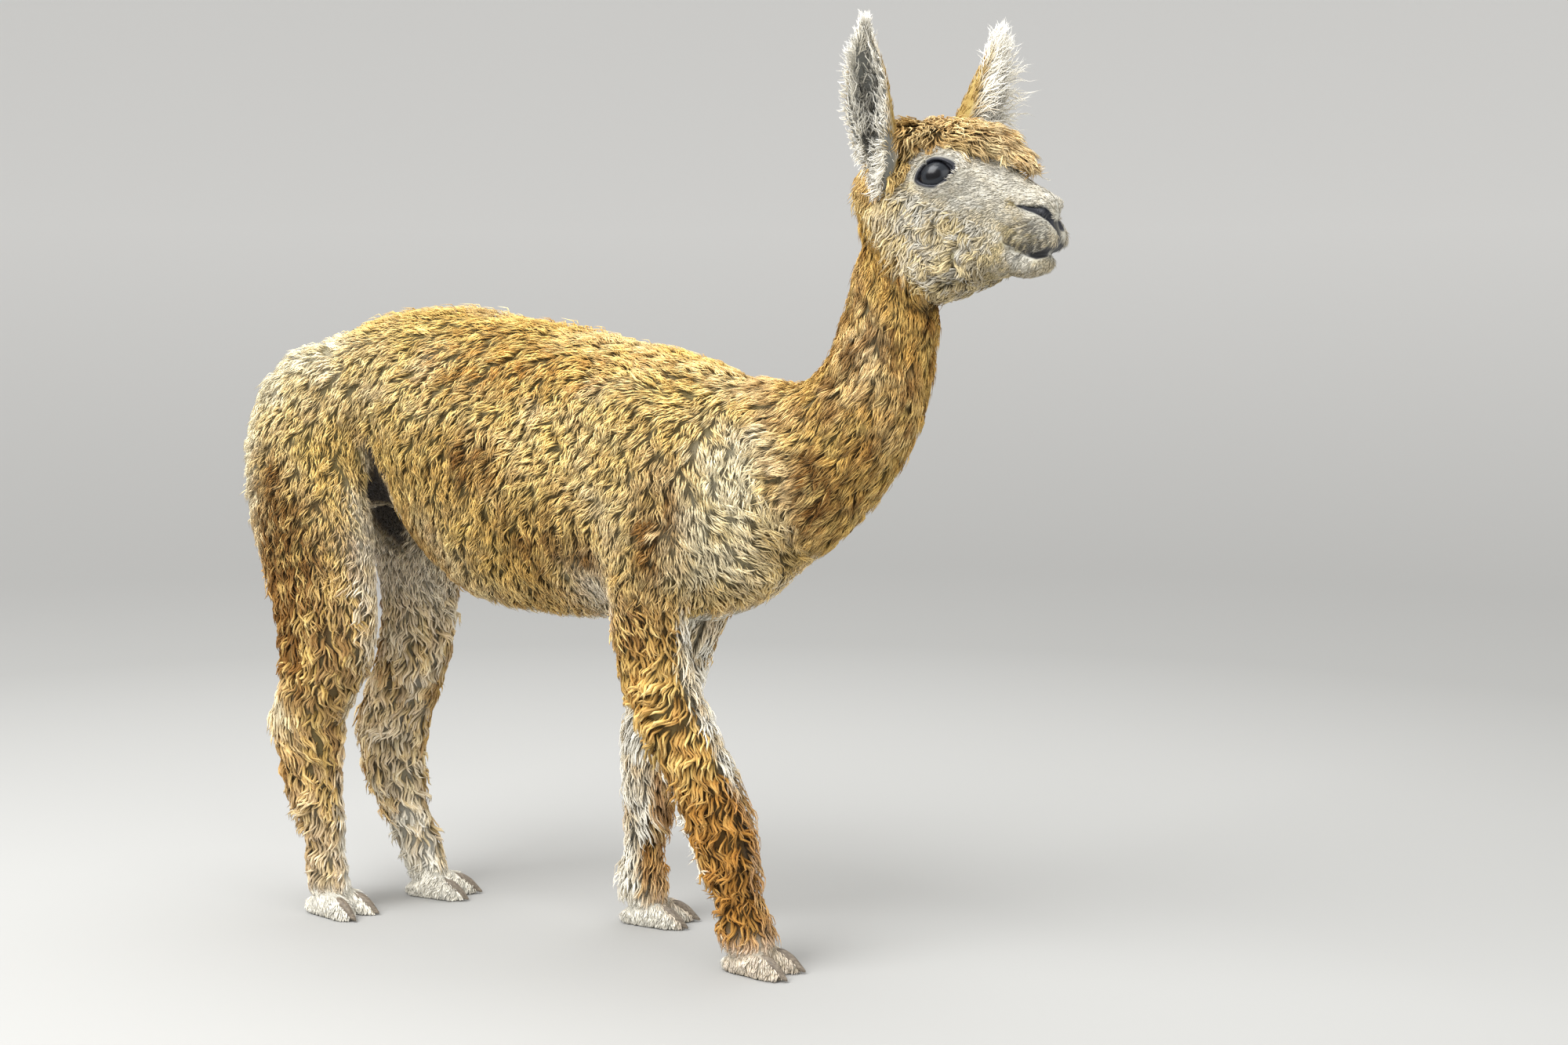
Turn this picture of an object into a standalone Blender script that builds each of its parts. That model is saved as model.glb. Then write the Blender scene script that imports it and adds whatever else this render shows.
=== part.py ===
"""A life-size standing alpaca, newly shorn, with woolly legs and a topknot.

The animal is modelled whole from lofted forms, joined by a voxel remesh and smoothed, and then
parted with thin cuts into head, neck, trunk, tail, four legs and two ears. Eyes and toenails are
pieces of their own. Metres, +X forward, +Y to the animal's left, +Z up, floor at z = 0.
"""

import math

import bmesh
import bpy
import numpy as np
from mathutils import Matrix, Vector

# ---------------------------------------------------------------- driving dimensions
WITHERS_HEIGHT = 0.86
GAP = 0.0003  # clearance of every thin cut
VOXEL = 0.004  # grain of the remesh that joins the forms
BODY_FACES = 4100  # triangles left on the whole animal before it is parted
SOLE_DEPTH = 0.004  # how far the feet are modelled below the floor before the soles are cut flat

HEAD_PIVOT = Vector((0.500, 0.0, 1.000))  # origin of the head's own frame
HEAD_TURN = math.radians(-12.5)  # the head looks a little to the animal's right
EYE_RADIUS = 0.0235
EYE_CENTRE = Vector((0.086, 0.0395, 0.070))  # left eye, in the head's frame

# Trunk: x, top, bottom, half width, share by which the belly is wider than the back
TRUNK = [
    (-0.545, 0.735, 0.660, 0.030, 0.00),
    (-0.528, 0.785, 0.610, 0.072, 0.00),
    (-0.490, 0.832, 0.585, 0.102, -0.05),
    (-0.430, 0.870, 0.585, 0.122, -0.15),
    (-0.340, 0.903, 0.578, 0.128, -0.22),
    (-0.250, 0.915, 0.530, 0.138, -0.05),
    (-0.140, 0.908, 0.468, 0.151, 0.08),
    (0.000, 0.886, 0.452, 0.158, 0.12),
    (0.110, 0.868, 0.456, 0.150, 0.10),
    (0.200, 0.848, 0.470, 0.132, 0.05),
    (0.275, 0.808, 0.500, 0.106, 0.00),
    (0.335, 0.740, 0.550, 0.072, 0.00),
    (0.365, 0.700, 0.600, 0.035, 0.00),
]
# Neck: x, y, z, half width, half depth, along its curved axis
NECK = [
    (0.180, 0.000, 0.655, 0.115, 0.165),
    (0.295, 0.000, 0.674, 0.106, 0.144),
    (0.368, 0.000, 0.698, 0.094, 0.116),
    (0.427, 0.000, 0.744, 0.081, 0.098),
    (0.464, 0.000, 0.805, 0.073, 0.085),
    (0.484, 0.000, 0.878, 0.068, 0.075),
    (0.497, 0.000, 0.955, 0.064, 0.068),
    (0.511, 0.000, 1.020, 0.058, 0.057),
    (0.522, 0.000, 1.065, 0.045, 0.044),
]
# Legs: x, y, z, half width, half depth, from inside the trunk down to the fetlock
FORELEG_RIGHT = [
    (0.190, -0.088, 0.700, 0.034, 0.070),
    (0.172, -0.098, 0.600, 0.046, 0.080),
    (0.163, -0.098, 0.520, 0.050, 0.066),
    (0.166, -0.092, 0.450, 0.049, 0.059),
    (0.176, -0.089, 0.390, 0.049, 0.059),
    (0.207, -0.087, 0.325, 0.050, 0.058),
    (0.243, -0.085, 0.258, 0.050, 0.055),
    (0.267, -0.083, 0.200, 0.049, 0.052),
    (0.280, -0.082, 0.148, 0.045, 0.047),
    (0.296, -0.081, 0.095, 0.037, 0.036),
    (0.308, -0.080, 0.045, 0.035, 0.036),
    (0.316, -0.080, 0.022, 0.026, 0.026),
]
FORELEG_LEFT = [
    (0.185, 0.088, 0.700, 0.034, 0.070),
    (0.168, 0.098, 0.600, 0.046, 0.080),
    (0.150, 0.098, 0.520, 0.050, 0.066),
    (0.130, 0.091, 0.450, 0.049, 0.060),
    (0.107, 0.087, 0.390, 0.049, 0.058),
    (0.091, 0.084, 0.337, 0.049, 0.055),
    (0.079, 0.081, 0.282, 0.048, 0.053),
    (0.072, 0.079, 0.232, 0.045, 0.046),
    (0.070, 0.078, 0.177, 0.041, 0.041),
    (0.063, 0.077, 0.123, 0.035, 0.034),
    (0.060, 0.076, 0.062, 0.034, 0.034),
    (0.068, 0.076, 0.022, 0.026, 0.026),
]
HINDLEG_RIGHT = [
    (-0.415, -0.072, 0.800, 0.050, 0.080),
    (-0.422, -0.086, 0.720, 0.062, 0.096),
    (-0.416, -0.092, 0.655, 0.064, 0.106),
    (-0.410, -0.094, 0.590, 0.062, 0.103),
    (-0.400, -0.094, 0.520, 0.058, 0.093),
    (-0.391, -0.093, 0.440, 0.056, 0.083),
    (-0.396, -0.091, 0.372, 0.054, 0.075),
    (-0.416, -0.089, 0.312, 0.050, 0.069),
    (-0.421, -0.087, 0.252, 0.047, 0.061),
    (-0.417, -0.086, 0.194, 0.043, 0.052),
    (-0.403, -0.085, 0.135, 0.038, 0.039),
    (-0.396, -0.085, 0.075, 0.033, 0.032),
    (-0.388, -0.085, 0.024, 0.026, 0.026),
]
HINDLEG_LEFT = [
    (-0.415, 0.072, 0.800, 0.050, 0.080),
    (-0.412, 0.086, 0.720, 0.062, 0.096),
    (-0.398, 0.090, 0.655, 0.064, 0.104),
    (-0.376, 0.091, 0.590, 0.062, 0.094),
    (-0.350, 0.090, 0.520, 0.057, 0.078),
    (-0.345, 0.088, 0.440, 0.054, 0.068),
    (-0.356, 0.086, 0.372, 0.053, 0.068),
    (-0.377, 0.083, 0.308, 0.051, 0.069),
    (-0.391, 0.080, 0.248, 0.048, 0.067),
    (-0.386, 0.077, 0.190, 0.044, 0.058),
    (-0.365, 0.075, 0.132, 0.039, 0.046),
    (-0.337, 0.072, 0.076, 0.034, 0.035),
    (-0.318, 0.071, 0.024, 0.026, 0.027),
]
TAIL = [
    (-0.495, 0.000, 0.812, 0.022, 0.020),
    (-0.532, 0.000, 0.788, 0.027, 0.023),
    (-0.558, 0.000, 0.740, 0.034, 0.026),
    (-0.565, 0.000, 0.685, 0.040, 0.029),
    (-0.560, 0.000, 0.628, 0.039, 0.028),
    (-0.550, 0.000, 0.575, 0.028, 0.020),
    (-0.544, 0.000, 0.548, 0.011, 0.009),
]
# Head, in its own frame: x forward, top, bottom, half width
SKULL = [
    (-0.052, 0.085, 0.015, 0.030),
    (-0.032, 0.112, -0.020, 0.049),
    (0.010, 0.130, -0.045, 0.060),
    (0.050, 0.134, -0.050, 0.062),
    (0.090, 0.128, -0.045, 0.056),
    (0.130, 0.110, -0.034, 0.043),
    (0.170, 0.085, -0.024, 0.034),
    (0.205, 0.063, -0.022, 0.031),
    (0.224, 0.050, -0.014, 0.027),
    (0.236, 0.036, -0.002, 0.019),
    (0.242, 0.022, 0.006, 0.007),
]
JAW = [
    (-0.012, -0.005, -0.068, 0.036),
    (0.030, 0.010, -0.085, 0.050),
    (0.080, 0.006, -0.081, 0.048),
    (0.120, -0.002, -0.069, 0.040),
    (0.160, -0.014, -0.062, 0.032),
    (0.192, -0.022, -0.057, 0.025),
    (0.212, -0.026, -0.050, 0.019),
    (0.226, -0.029, -0.041, 0.010),
]
FORELOCK = [
    (0.080, 0.000, 0.122, 0.050, 0.026),
    (0.130, 0.000, 0.115, 0.042, 0.027),
    (0.172, 0.000, 0.094, 0.031, 0.023),
    (0.203, 0.000, 0.076, 0.018, 0.014),
    (0.227, 0.000, 0.062, 0.006, 0.006),
]
# Rounded masses: centre, radii, pitch in degrees; those with a side are made left and right
HEAD_MASSES = {
    "topknot": ((0.060, 0.000, 0.116), (0.086, 0.062, 0.038), 9, False),
    "cheek": ((0.050, 0.028, -0.010), (0.066, 0.030, 0.068), 0, True),
    "jowl": ((0.115, 0.018, -0.018), (0.060, 0.022, 0.036), 4, True),
    "brow": ((0.088, 0.036, 0.076), (0.040, 0.022, 0.032), 12, True),
    "upper_lip": ((0.205, 0.013, -0.002), (0.032, 0.019, 0.027), 8, True),
    "nose": ((0.217, 0.000, 0.030), (0.024, 0.023, 0.018), 18, False),
    "chin": ((0.198, 0.000, -0.039), (0.028, 0.020, 0.016), -8, False),
}
BODY_MASSES = {
    "shoulder": ((0.165, 0.092, 0.665), (0.090, 0.050, 0.150), -14, True),
    "haunch": ((-0.418, 0.076, 0.705), (0.105, 0.066, 0.155), 8, True),
    "brisket": ((0.235, 0.000, 0.556), (0.105, 0.085, 0.076), -20, False),
    "hock_right": ((-0.452, -0.087, 0.296), (0.036, 0.030, 0.040), 0, False),
    "hock_left": ((-0.422, 0.081, 0.262), (0.036, 0.030, 0.040), 0, False),
}
# Ears, in the head's frame: base, tip, the way the cup opens, how far its middle bows forward
EAR_WIDTH = 0.036  # half width at the widest
EAR_WALL = 0.0045
EARS = {
    "ear_right": ((0.008, -0.050, 0.095), (0.012, -0.114, 0.276), (0.15, -0.97, -0.05), -0.010),
    "ear_left": ((0.034, 0.058, 0.098), (0.096, 0.116, 0.280), (0.90, 0.20, -0.20), 0.024),
}
# Feet: centre of the sole on the floor and the way the foot points, in degrees from straight ahead
FEET = {
    "foreleg_right": ((0.326, -0.080), -6),
    "foreleg_left": ((0.080, 0.076), 6),
    "hindleg_right": ((-0.378, -0.085), -8),
    "hindleg_left": ((-0.302, 0.071), 8),
}
TOE_SPREAD = 0.0165  # from the foot's centre line to a toe's
TOE_SPLAY = 7  # degrees outwards
# Toe, in the foot's frame: x forward, y, z, half width, half depth
TOE = [
    (-0.040, 0.0, 0.012, 0.009, 0.009),
    (-0.024, 0.0, 0.016, 0.0150, 0.018),
    (0.000, 0.0, 0.019, 0.0165, 0.023),
    (0.024, 0.0, 0.014, 0.0155, 0.018),
    (0.040, 0.0, 0.009, 0.0110, 0.013),
    (0.048, 0.0, 0.006, 0.0050, 0.008),
]
NAIL = [
    (0.018, 0.0, 0.0265, 0.0060, 0.0050),
    (0.030, 0.0, 0.0210, 0.0072, 0.0090),
    (0.044, 0.0, 0.0135, 0.0062, 0.0090),
    (0.057, 0.0, 0.0060, 0.0035, 0.0040),
    (0.062, 0.0, 0.0035, 0.0012, 0.0015),
]
# Cutters that part the legs from the trunk: offset of the path's top, then margins round the leg
LEG_CUTS = {
    "foreleg": [
        (0.172, 0.165, 0.690, 0.008, 0.012),
        (0.168, 0.150, 0.655, 0.028, 0.048),
        (0.165, 0.128, 0.600, 0.055, 0.082),
        (0.160, 0.102, 0.530, 0.080, 0.096),
        (0.158, 0.086, 0.460, 0.078, 0.100),
    ],
    "hindleg": [
        (-0.430, 0.170, 0.840, 0.008, 0.014),
        (-0.425, 0.155, 0.802, 0.030, 0.058),
        (-0.425, 0.135, 0.745, 0.060, 0.100),
        (-0.415, 0.110, 0.660, 0.086, 0.134),
        (-0.395, 0.094, 0.560, 0.086, 0.136),
        (-0.380, 0.090, 0.480, 0.084, 0.130),
    ],
}
CUT_MARGIN = 0.034  # how far a leg's cutter stands off the leg below the elbow or stifle
NECK_HEAD_CUT = ((0.512, 0.0, 0.985), (0.78, 0.0, 0.625))  # a point and the normal
TRUNK_NECK_CUT = ((0.352, 0.0, 0.685), (0.917, 0.0, 0.399))

COLOURS = {
    "fleece": (0.52, 0.33, 0.13),
    "face": (0.66, 0.58, 0.44),
    "eye": (0.02, 0.02, 0.025),
    "nail": (0.20, 0.16, 0.12),
}
ROUGHNESS = {"fleece": 0.9, "face": 0.85, "eye": 0.08, "nail": 0.5}


# ---------------------------------------------------------------- geometry helpers
def smooth_rows(rows, steps):
    """Catmull-Rom curve through the rows, with the given number of steps between two rows."""
    p = np.array(rows, float)
    ends = np.vstack([2 * p[0] - p[1], p, 2 * p[-1] - p[-2]])
    t = np.linspace(0.0, 1.0, steps, endpoint=False)[:, None]
    out = []
    for i in range(len(p) - 1):
        a, b, c, d = ends[i : i + 4]
        out.append(0.5 * (2 * b + (c - a) * t + (2 * a - 5 * b + 4 * c - d) * t**2
                          + (3 * b - a - 3 * c + d) * t**3))
    out.append(p[-1:])
    return np.vstack(out)


def mesh_object(name, points, faces, matrix=None):
    mesh = bpy.data.meshes.new(name)
    mesh.from_pydata([tuple(v) for v in points], [], faces)
    if matrix is not None:
        mesh.transform(matrix)
    bm = bmesh.new()
    bm.from_mesh(mesh)
    bmesh.ops.recalc_face_normals(bm, faces=bm.faces)
    bm.to_mesh(mesh)
    bm.free()
    obj = bpy.data.objects.new(name, mesh)
    bpy.context.scene.collection.objects.link(obj)
    return obj


def ring_faces(rings, sides):
    """Quads between rings of equal size, closed by a cap at both ends."""
    faces = []
    for r in range(rings - 1):
        for s in range(sides):
            n = (s + 1) % sides
            faces.append((r * sides + s, r * sides + n, (r + 1) * sides + n, (r + 1) * sides + s))
    faces.append(tuple(range(sides))[::-1])
    faces.append(tuple((rings - 1) * sides + s for s in range(sides)))
    return faces


def loft(name, centres, halves, normal=None, pear=None, sides=28, matrix=None):
    """Closed tube of elliptic sections. centres is (n, 3) and halves (n, 2): half width across, then half
    depth. normal fixes the sections' plane; without it they stand square to the path. pear widens the
    lower half of a section and narrows the upper one by that share."""
    n = len(centres)
    if normal is None:
        tangents = np.gradient(centres, axis=0)
    else:
        tangents = np.tile(np.array(normal, float), (n, 1))
    tangents /= np.linalg.norm(tangents, axis=1)[:, None]
    across = np.array((0.0, 1.0, 0.0)) - tangents[:, 1:2] * tangents
    across /= np.linalg.norm(across, axis=1)[:, None]
    up = np.cross(tangents, across)
    angle = np.linspace(0.0, 2 * math.pi, sides, endpoint=False)
    c, s = np.cos(angle), np.sin(angle)
    widen = np.ones((n, sides)) if pear is None else 1.0 - np.outer(pear, s * np.sign(up[:, 2].sum()))
    points = (centres[:, None] + across[:, None] * (halves[:, :1] * c * widen)[..., None]
              + up[:, None] * (halves[:, 1:] * s)[..., None])
    return mesh_object(name, points.reshape(-1, 3), ring_faces(n, sides), matrix)


def path_loft(name, rows, normal=None, steps=4, sides=28, matrix=None, grow=0.0):
    """Loft along rows of x, y, z, half width, half depth."""
    r = smooth_rows(rows, steps)
    return loft(name, r[:, :3], r[:, 3:5] + grow, normal, sides=sides, matrix=matrix)


def upright_loft(name, rows, steps=4, matrix=None):
    """Loft of upright sections from rows of x, top, bottom, half width and, if given, pear share."""
    r = smooth_rows(rows, steps)
    centres = np.column_stack([r[:, 0], 0 * r[:, 0], (r[:, 1] + r[:, 2]) / 2])
    halves = np.column_stack([r[:, 3], (r[:, 1] - r[:, 2]) / 2])
    pear = r[:, 4] if r.shape[1] > 4 else None
    return loft(name, centres, halves, (1, 0, 0), pear, matrix=matrix)


def ball(name, centre, radii, pitch=0.0, matrix=None, segments=24, rings=16):
    """Ellipsoid, pitched nose down by that many degrees."""
    bm = bmesh.new()
    bmesh.ops.create_uvsphere(bm, u_segments=segments, v_segments=rings, radius=1.0)
    place = Matrix.Translation(centre) @ Matrix.Rotation(math.radians(pitch), 4, "Y")
    place = place @ Matrix.Diagonal((*radii, 1.0))
    bmesh.ops.transform(bm, matrix=(matrix or Matrix()) @ place, verts=bm.verts)
    mesh = bpy.data.meshes.new(name)
    bm.to_mesh(mesh)
    bm.free()
    obj = bpy.data.objects.new(name, mesh)
    bpy.context.scene.collection.objects.link(obj)
    return obj


def masses(table, matrix=None):
    made = []
    for name, (centre, radii, pitch, paired) in table.items():
        for side in (1, -1) if paired else (1,):
            spot = (centre[0], centre[1] * side, centre[2])
            made.append(ball(f"{name}_{side}", spot, radii, pitch, matrix))
    return made


def apply_modifiers(obj):
    """Replaces the mesh by what its modifiers make of it."""
    depsgraph = bpy.context.evaluated_depsgraph_get()
    mesh = bpy.data.meshes.new_from_object(obj.evaluated_get(depsgraph))
    obj.modifiers.clear()
    obj.data = mesh


def join(name, objects):
    """One object holding all the meshes, still as separate shells."""
    bm = bmesh.new()
    for obj in objects:
        bm.from_mesh(obj.data)
        bpy.data.objects.remove(obj)
    mesh = bpy.data.meshes.new(name)
    bm.to_mesh(mesh)
    bm.free()
    obj = bpy.data.objects.new(name, mesh)
    bpy.context.scene.collection.objects.link(obj)
    return obj


def keep_largest_shell(obj):
    """Deletes every shell but the one with the most vertices."""
    bm = bmesh.new()
    bm.from_mesh(obj.data)
    unseen, shells = set(bm.verts), []
    while unseen:
        front = [unseen.pop()]
        shell = set(front)
        while front:
            for edge in front.pop().link_edges:
                for vert in edge.verts:
                    if vert in unseen:
                        unseen.remove(vert)
                        shell.add(vert)
                        front.append(vert)
        shells.append(shell)
    shells.sort(key=len)
    for shell in shells[:-1]:
        bmesh.ops.delete(bm, geom=list(shell), context="VERTS")
    bm.to_mesh(obj.data)
    bm.free()


def weld(obj, distance=2e-5):
    bm = bmesh.new()
    bm.from_mesh(obj.data)
    bmesh.ops.remove_doubles(bm, verts=bm.verts, dist=distance)
    bmesh.ops.dissolve_degenerate(bm, edges=bm.edges, dist=distance)
    bmesh.ops.triangulate(bm, faces=bm.faces)
    bm.to_mesh(obj.data)
    bm.free()


def combine(obj, other, operation):
    """Boolean of obj with other, applied at once."""
    modifier = obj.modifiers.new("cut", "BOOLEAN")
    modifier.operation = operation
    modifier.solver = "EXACT"
    modifier.object = other
    apply_modifiers(obj)


def copy_of(obj, name):
    twin = bpy.data.objects.new(name, obj.data.copy())
    bpy.context.scene.collection.objects.link(twin)
    return twin


def swollen(obj, name, distance):
    """Copy with every vertex moved out along its normal."""
    twin = copy_of(obj, name)
    bm = bmesh.new()
    bm.from_mesh(twin.data)
    bm.normal_update()
    moves = [(v, v.normal.copy()) for v in bm.verts]
    for vert, normal in moves:
        vert.co += normal * distance * vert.calc_shell_factor()
    bm.to_mesh(twin.data)
    bm.free()
    return twin


def half_space(name, point, normal, gap):
    """A big block whose lower face lies on the plane through point, gap further along the normal."""
    size = 3.0
    bm = bmesh.new()
    bmesh.ops.create_cube(bm, size=size)
    turn = Vector((0, 0, 1)).rotation_difference(Vector(normal)).to_matrix().to_4x4()
    middle = Vector(point) + Vector(normal).normalized() * (size / 2 + gap)
    bmesh.ops.transform(bm, matrix=Matrix.Translation(middle) @ turn, verts=bm.verts)
    mesh = bpy.data.meshes.new(name)
    bm.to_mesh(mesh)
    bm.free()
    obj = bpy.data.objects.new(name, mesh)
    bpy.context.scene.collection.objects.link(obj)
    return obj


# ---------------------------------------------------------------- the forms of the animal
HEAD_PLACE = Matrix.Translation(HEAD_PIVOT) @ Matrix.Rotation(HEAD_TURN, 4, "Z")
LEGS = {
    "foreleg_right": FORELEG_RIGHT,
    "foreleg_left": FORELEG_LEFT,
    "hindleg_right": HINDLEG_RIGHT,
    "hindleg_left": HINDLEG_LEFT,
}


def toe_place(foot, side):
    """Where a toe stands: side is 1 for the left toe of a foot and -1 for the right one."""
    (x, y), heading = FEET[foot]
    place = Matrix.Translation((x, y, 0)) @ Matrix.Rotation(math.radians(heading), 4, "Z")
    place = place @ Matrix.Translation((0, side * TOE_SPREAD, 0))
    return place @ Matrix.Rotation(math.radians(side * TOE_SPLAY), 4, "Z")


def whole_animal():
    forms = [
        upright_loft("trunk_form", TRUNK),
        path_loft("neck_form", NECK),
        upright_loft("skull_form", SKULL, matrix=HEAD_PLACE),
        upright_loft("jaw_form", JAW, matrix=HEAD_PLACE),
        path_loft("forelock_form", FORELOCK, matrix=HEAD_PLACE),
    ]
    forms += masses(BODY_MASSES) + masses(HEAD_MASSES, HEAD_PLACE)
    for name, rows in LEGS.items():
        forms.append(path_loft(name + "_form", rows, (0, 0, -1)))
        for side in (1, -1):
            lowered = Matrix.Translation((0, 0, -SOLE_DEPTH)) @ toe_place(name, side)
            forms.append(path_loft("toe_form", TOE, matrix=lowered))
    body = join("body", forms)
    remesh = body.modifiers.new("join", "REMESH")
    remesh.mode = "VOXEL"
    remesh.voxel_size = VOXEL
    apply_modifiers(body)
    keep_largest_shell(body)
    soften(body)
    thin_out(body)
    return body


def weights(obj, name, values):
    """A vertex group with one weight for each vertex."""
    group = obj.vertex_groups.new(name=name)
    levels = np.round(np.clip(values, 0, 1) * 20).astype(int)
    for level in np.unique(levels):
        if level:
            group.add(np.flatnonzero(levels == level).tolist(), level / 20, "REPLACE")
    return name


def vertex_array(obj):
    co = np.empty(len(obj.data.vertices) * 3, np.float32)
    obj.data.vertices.foreach_get("co", co)
    return co.reshape(-1, 3).astype(float)


def head_nearness(points):
    """0 on the body, rising to 1 on the head."""
    return np.clip((points[:, 2] + 0.55 * points[:, 0] - 1.17) / 0.06, 0, 1)


def soften(body):
    """Runs the forms into each other: widely on the trunk, a little on the head, hardly on the feet."""
    points = vertex_array(body)
    head = head_nearness(points)
    feet = np.clip((0.07 - points[:, 2]) / 0.05, 0, 1)
    legs = np.clip((0.42 - points[:, 2]) / 0.12, 0, 1)
    wide = (1 - head) * (1 - 0.85 * legs) * (1 - feet)
    for name, values, times in (("wide", wide, 45), ("all", 1 - 0.7 * feet, 9)):
        modifier = body.modifiers.new(name, "SMOOTH")
        modifier.factor = 0.5
        modifier.iterations = times
        modifier.vertex_group = weights(body, name, values)
    apply_modifiers(body)


def thin_out(body):
    """Fewer triangles, with the finer ones kept on the head and the feet."""
    points = vertex_array(body)
    fine = np.maximum(head_nearness(points), 0.7 * np.clip((0.06 - points[:, 2]) / 0.03, 0, 1))
    body.data.calc_loop_triangles()
    modifier = body.modifiers.new("thin", "DECIMATE")
    modifier.ratio = BODY_FACES / len(body.data.loop_triangles)
    modifier.vertex_group = weights(body, "coarse", 1 - 0.12 * fine)
    modifier.vertex_group_factor = 1.0
    apply_modifiers(body)
    body.vertex_groups.clear()
    weld(body)


def ear(name):
    """A cupped leaf: its section is an arc that opens from a near tube at the base to a flat tip."""
    base, tip, opening = (Vector(v) for v in EARS[name][:3])
    bow = Vector((EARS[name][3], 0, 0))
    axis = (tip - base).normalized()
    length = (tip - base).length
    front = (opening - axis * opening.dot(axis)).normalized()
    side = axis.cross(front)
    rows, columns = 11, 7
    outer, inner = [], []
    for i in range(rows):
        u = i / (rows - 1)
        if u < 0.38:
            half_width = EAR_WIDTH * (0.72 + 0.28 * math.sin(math.pi / 2 * u / 0.38))
        else:
            half_width = EAR_WIDTH * math.cos(math.pi / 2 * (u - 0.38) / 0.64)
        half_angle = math.radians(118 - 62 * u)
        radius = half_width / math.sin(min(half_angle, math.pi / 2))
        wall = EAR_WALL * (1.0 - 0.45 * u)
        back = -0.010 * math.sin(math.pi * u)
        for j in range(columns):
            a = half_angle * (2 * j / (columns - 1) - 1)
            out = side * math.sin(a) - front * math.cos(a)
            middle = base + axis * (u * length) + bow * (4 * u * (1 - u)) + front * (back + radius * 0.5)
            thin = wall * (0.55 if j in (0, columns - 1) else 1.0)
            outer.append(middle + out * (radius + thin / 2))
            inner.append(middle + out * (radius - thin / 2))
    count = rows * columns
    faces = []
    for i in range(rows - 1):
        for j in range(columns - 1):
            a, b, c, d = (i * columns + j, i * columns + j + 1, (i + 1) * columns + j + 1, (i + 1) * columns + j)
            faces += [(a, b, c, d), (count + d, count + c, count + b, count + a)]
        for j in (0, columns - 1):
            a, b = i * columns + j, (i + 1) * columns + j
            faces.append((a, b, count + b, count + a))
    for i in (0, rows - 1):
        for j in range(columns - 1):
            a, b = i * columns + j, i * columns + j + 1
            faces.append((a, b, count + b, count + a))
    made = mesh_object(name, outer + inner, faces, HEAD_PLACE)
    weld(made)
    return made


def leg_cutter(name, grow):
    """A fat sleeve round a whole leg, whose rounded top is the leg's cut through the flesh."""
    kind, side = name.split("_")
    sign = 1 if side == "left" else -1
    top = [(x, y * sign, z, w, d) for x, y, z, w, d in LEG_CUTS[kind]]
    lowest = top[-1][2]
    rows = [(x, y, z, w + CUT_MARGIN, d + CUT_MARGIN) for x, y, z, w, d in LEGS[name] if z < lowest - 0.03]
    (x, y), _ = FEET[name]
    rows.append((x, y, -0.03, 0.065, 0.085))
    rows.append((x, y, -0.06, 0.060, 0.080))
    return path_loft(name + "_cutter", top + rows, (0, 0, -1), steps=1, sides=14, grow=grow)


def cut_away(body, name, cutter_at):
    """Splits the piece inside a cutter off the body, with the gap between them."""
    piece = copy_of(body, name)
    inner, outer = cutter_at(0.0), cutter_at(GAP)
    combine(piece, inner, "INTERSECT")
    combine(body, outer, "DIFFERENCE")
    for tool in (inner, outer):
        bpy.data.objects.remove(tool)
    for made in (piece, body):
        weld(made)
        keep_largest_shell(made)
    return piece


def slice_away(body, name, point, normal):
    return cut_away(body, name, lambda gap: half_space(name + "_plane", point, normal, -gap))


def eye_place(side):
    centre = Vector((EYE_CENTRE.x, side * EYE_CENTRE.y, EYE_CENTRE.z))
    return HEAD_PLACE @ centre


def finish(obj, colour):
    """Gives a piece its material and smooth shading with sharp edges kept."""
    material = bpy.data.materials.get(colour)
    if material is None:
        material = bpy.data.materials.new(colour)
        material.use_nodes = True
        shader = material.node_tree.nodes["Principled BSDF"]
        shader.inputs["Base Color"].default_value = (*COLOURS[colour], 1.0)
        shader.inputs["Roughness"].default_value = ROUGHNESS[colour]
        shader.inputs["Metallic"].default_value = 0.0
    obj.data.materials.clear()
    obj.data.materials.append(material)
    obj.data.shade_smooth()
    obj.data.set_sharp_from_angle(angle=math.radians(50))


def stand_on_centre(objects):
    """Moves the animal so that the origin is on the floor, under the middle of its box."""
    points = np.vstack([vertex_array(o) for o in objects])
    middle = (points.min(0) + points.max(0)) / 2
    for obj in objects:
        obj.data.transform(Matrix.Translation((-middle[0], -middle[1], 0.0)))


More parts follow.
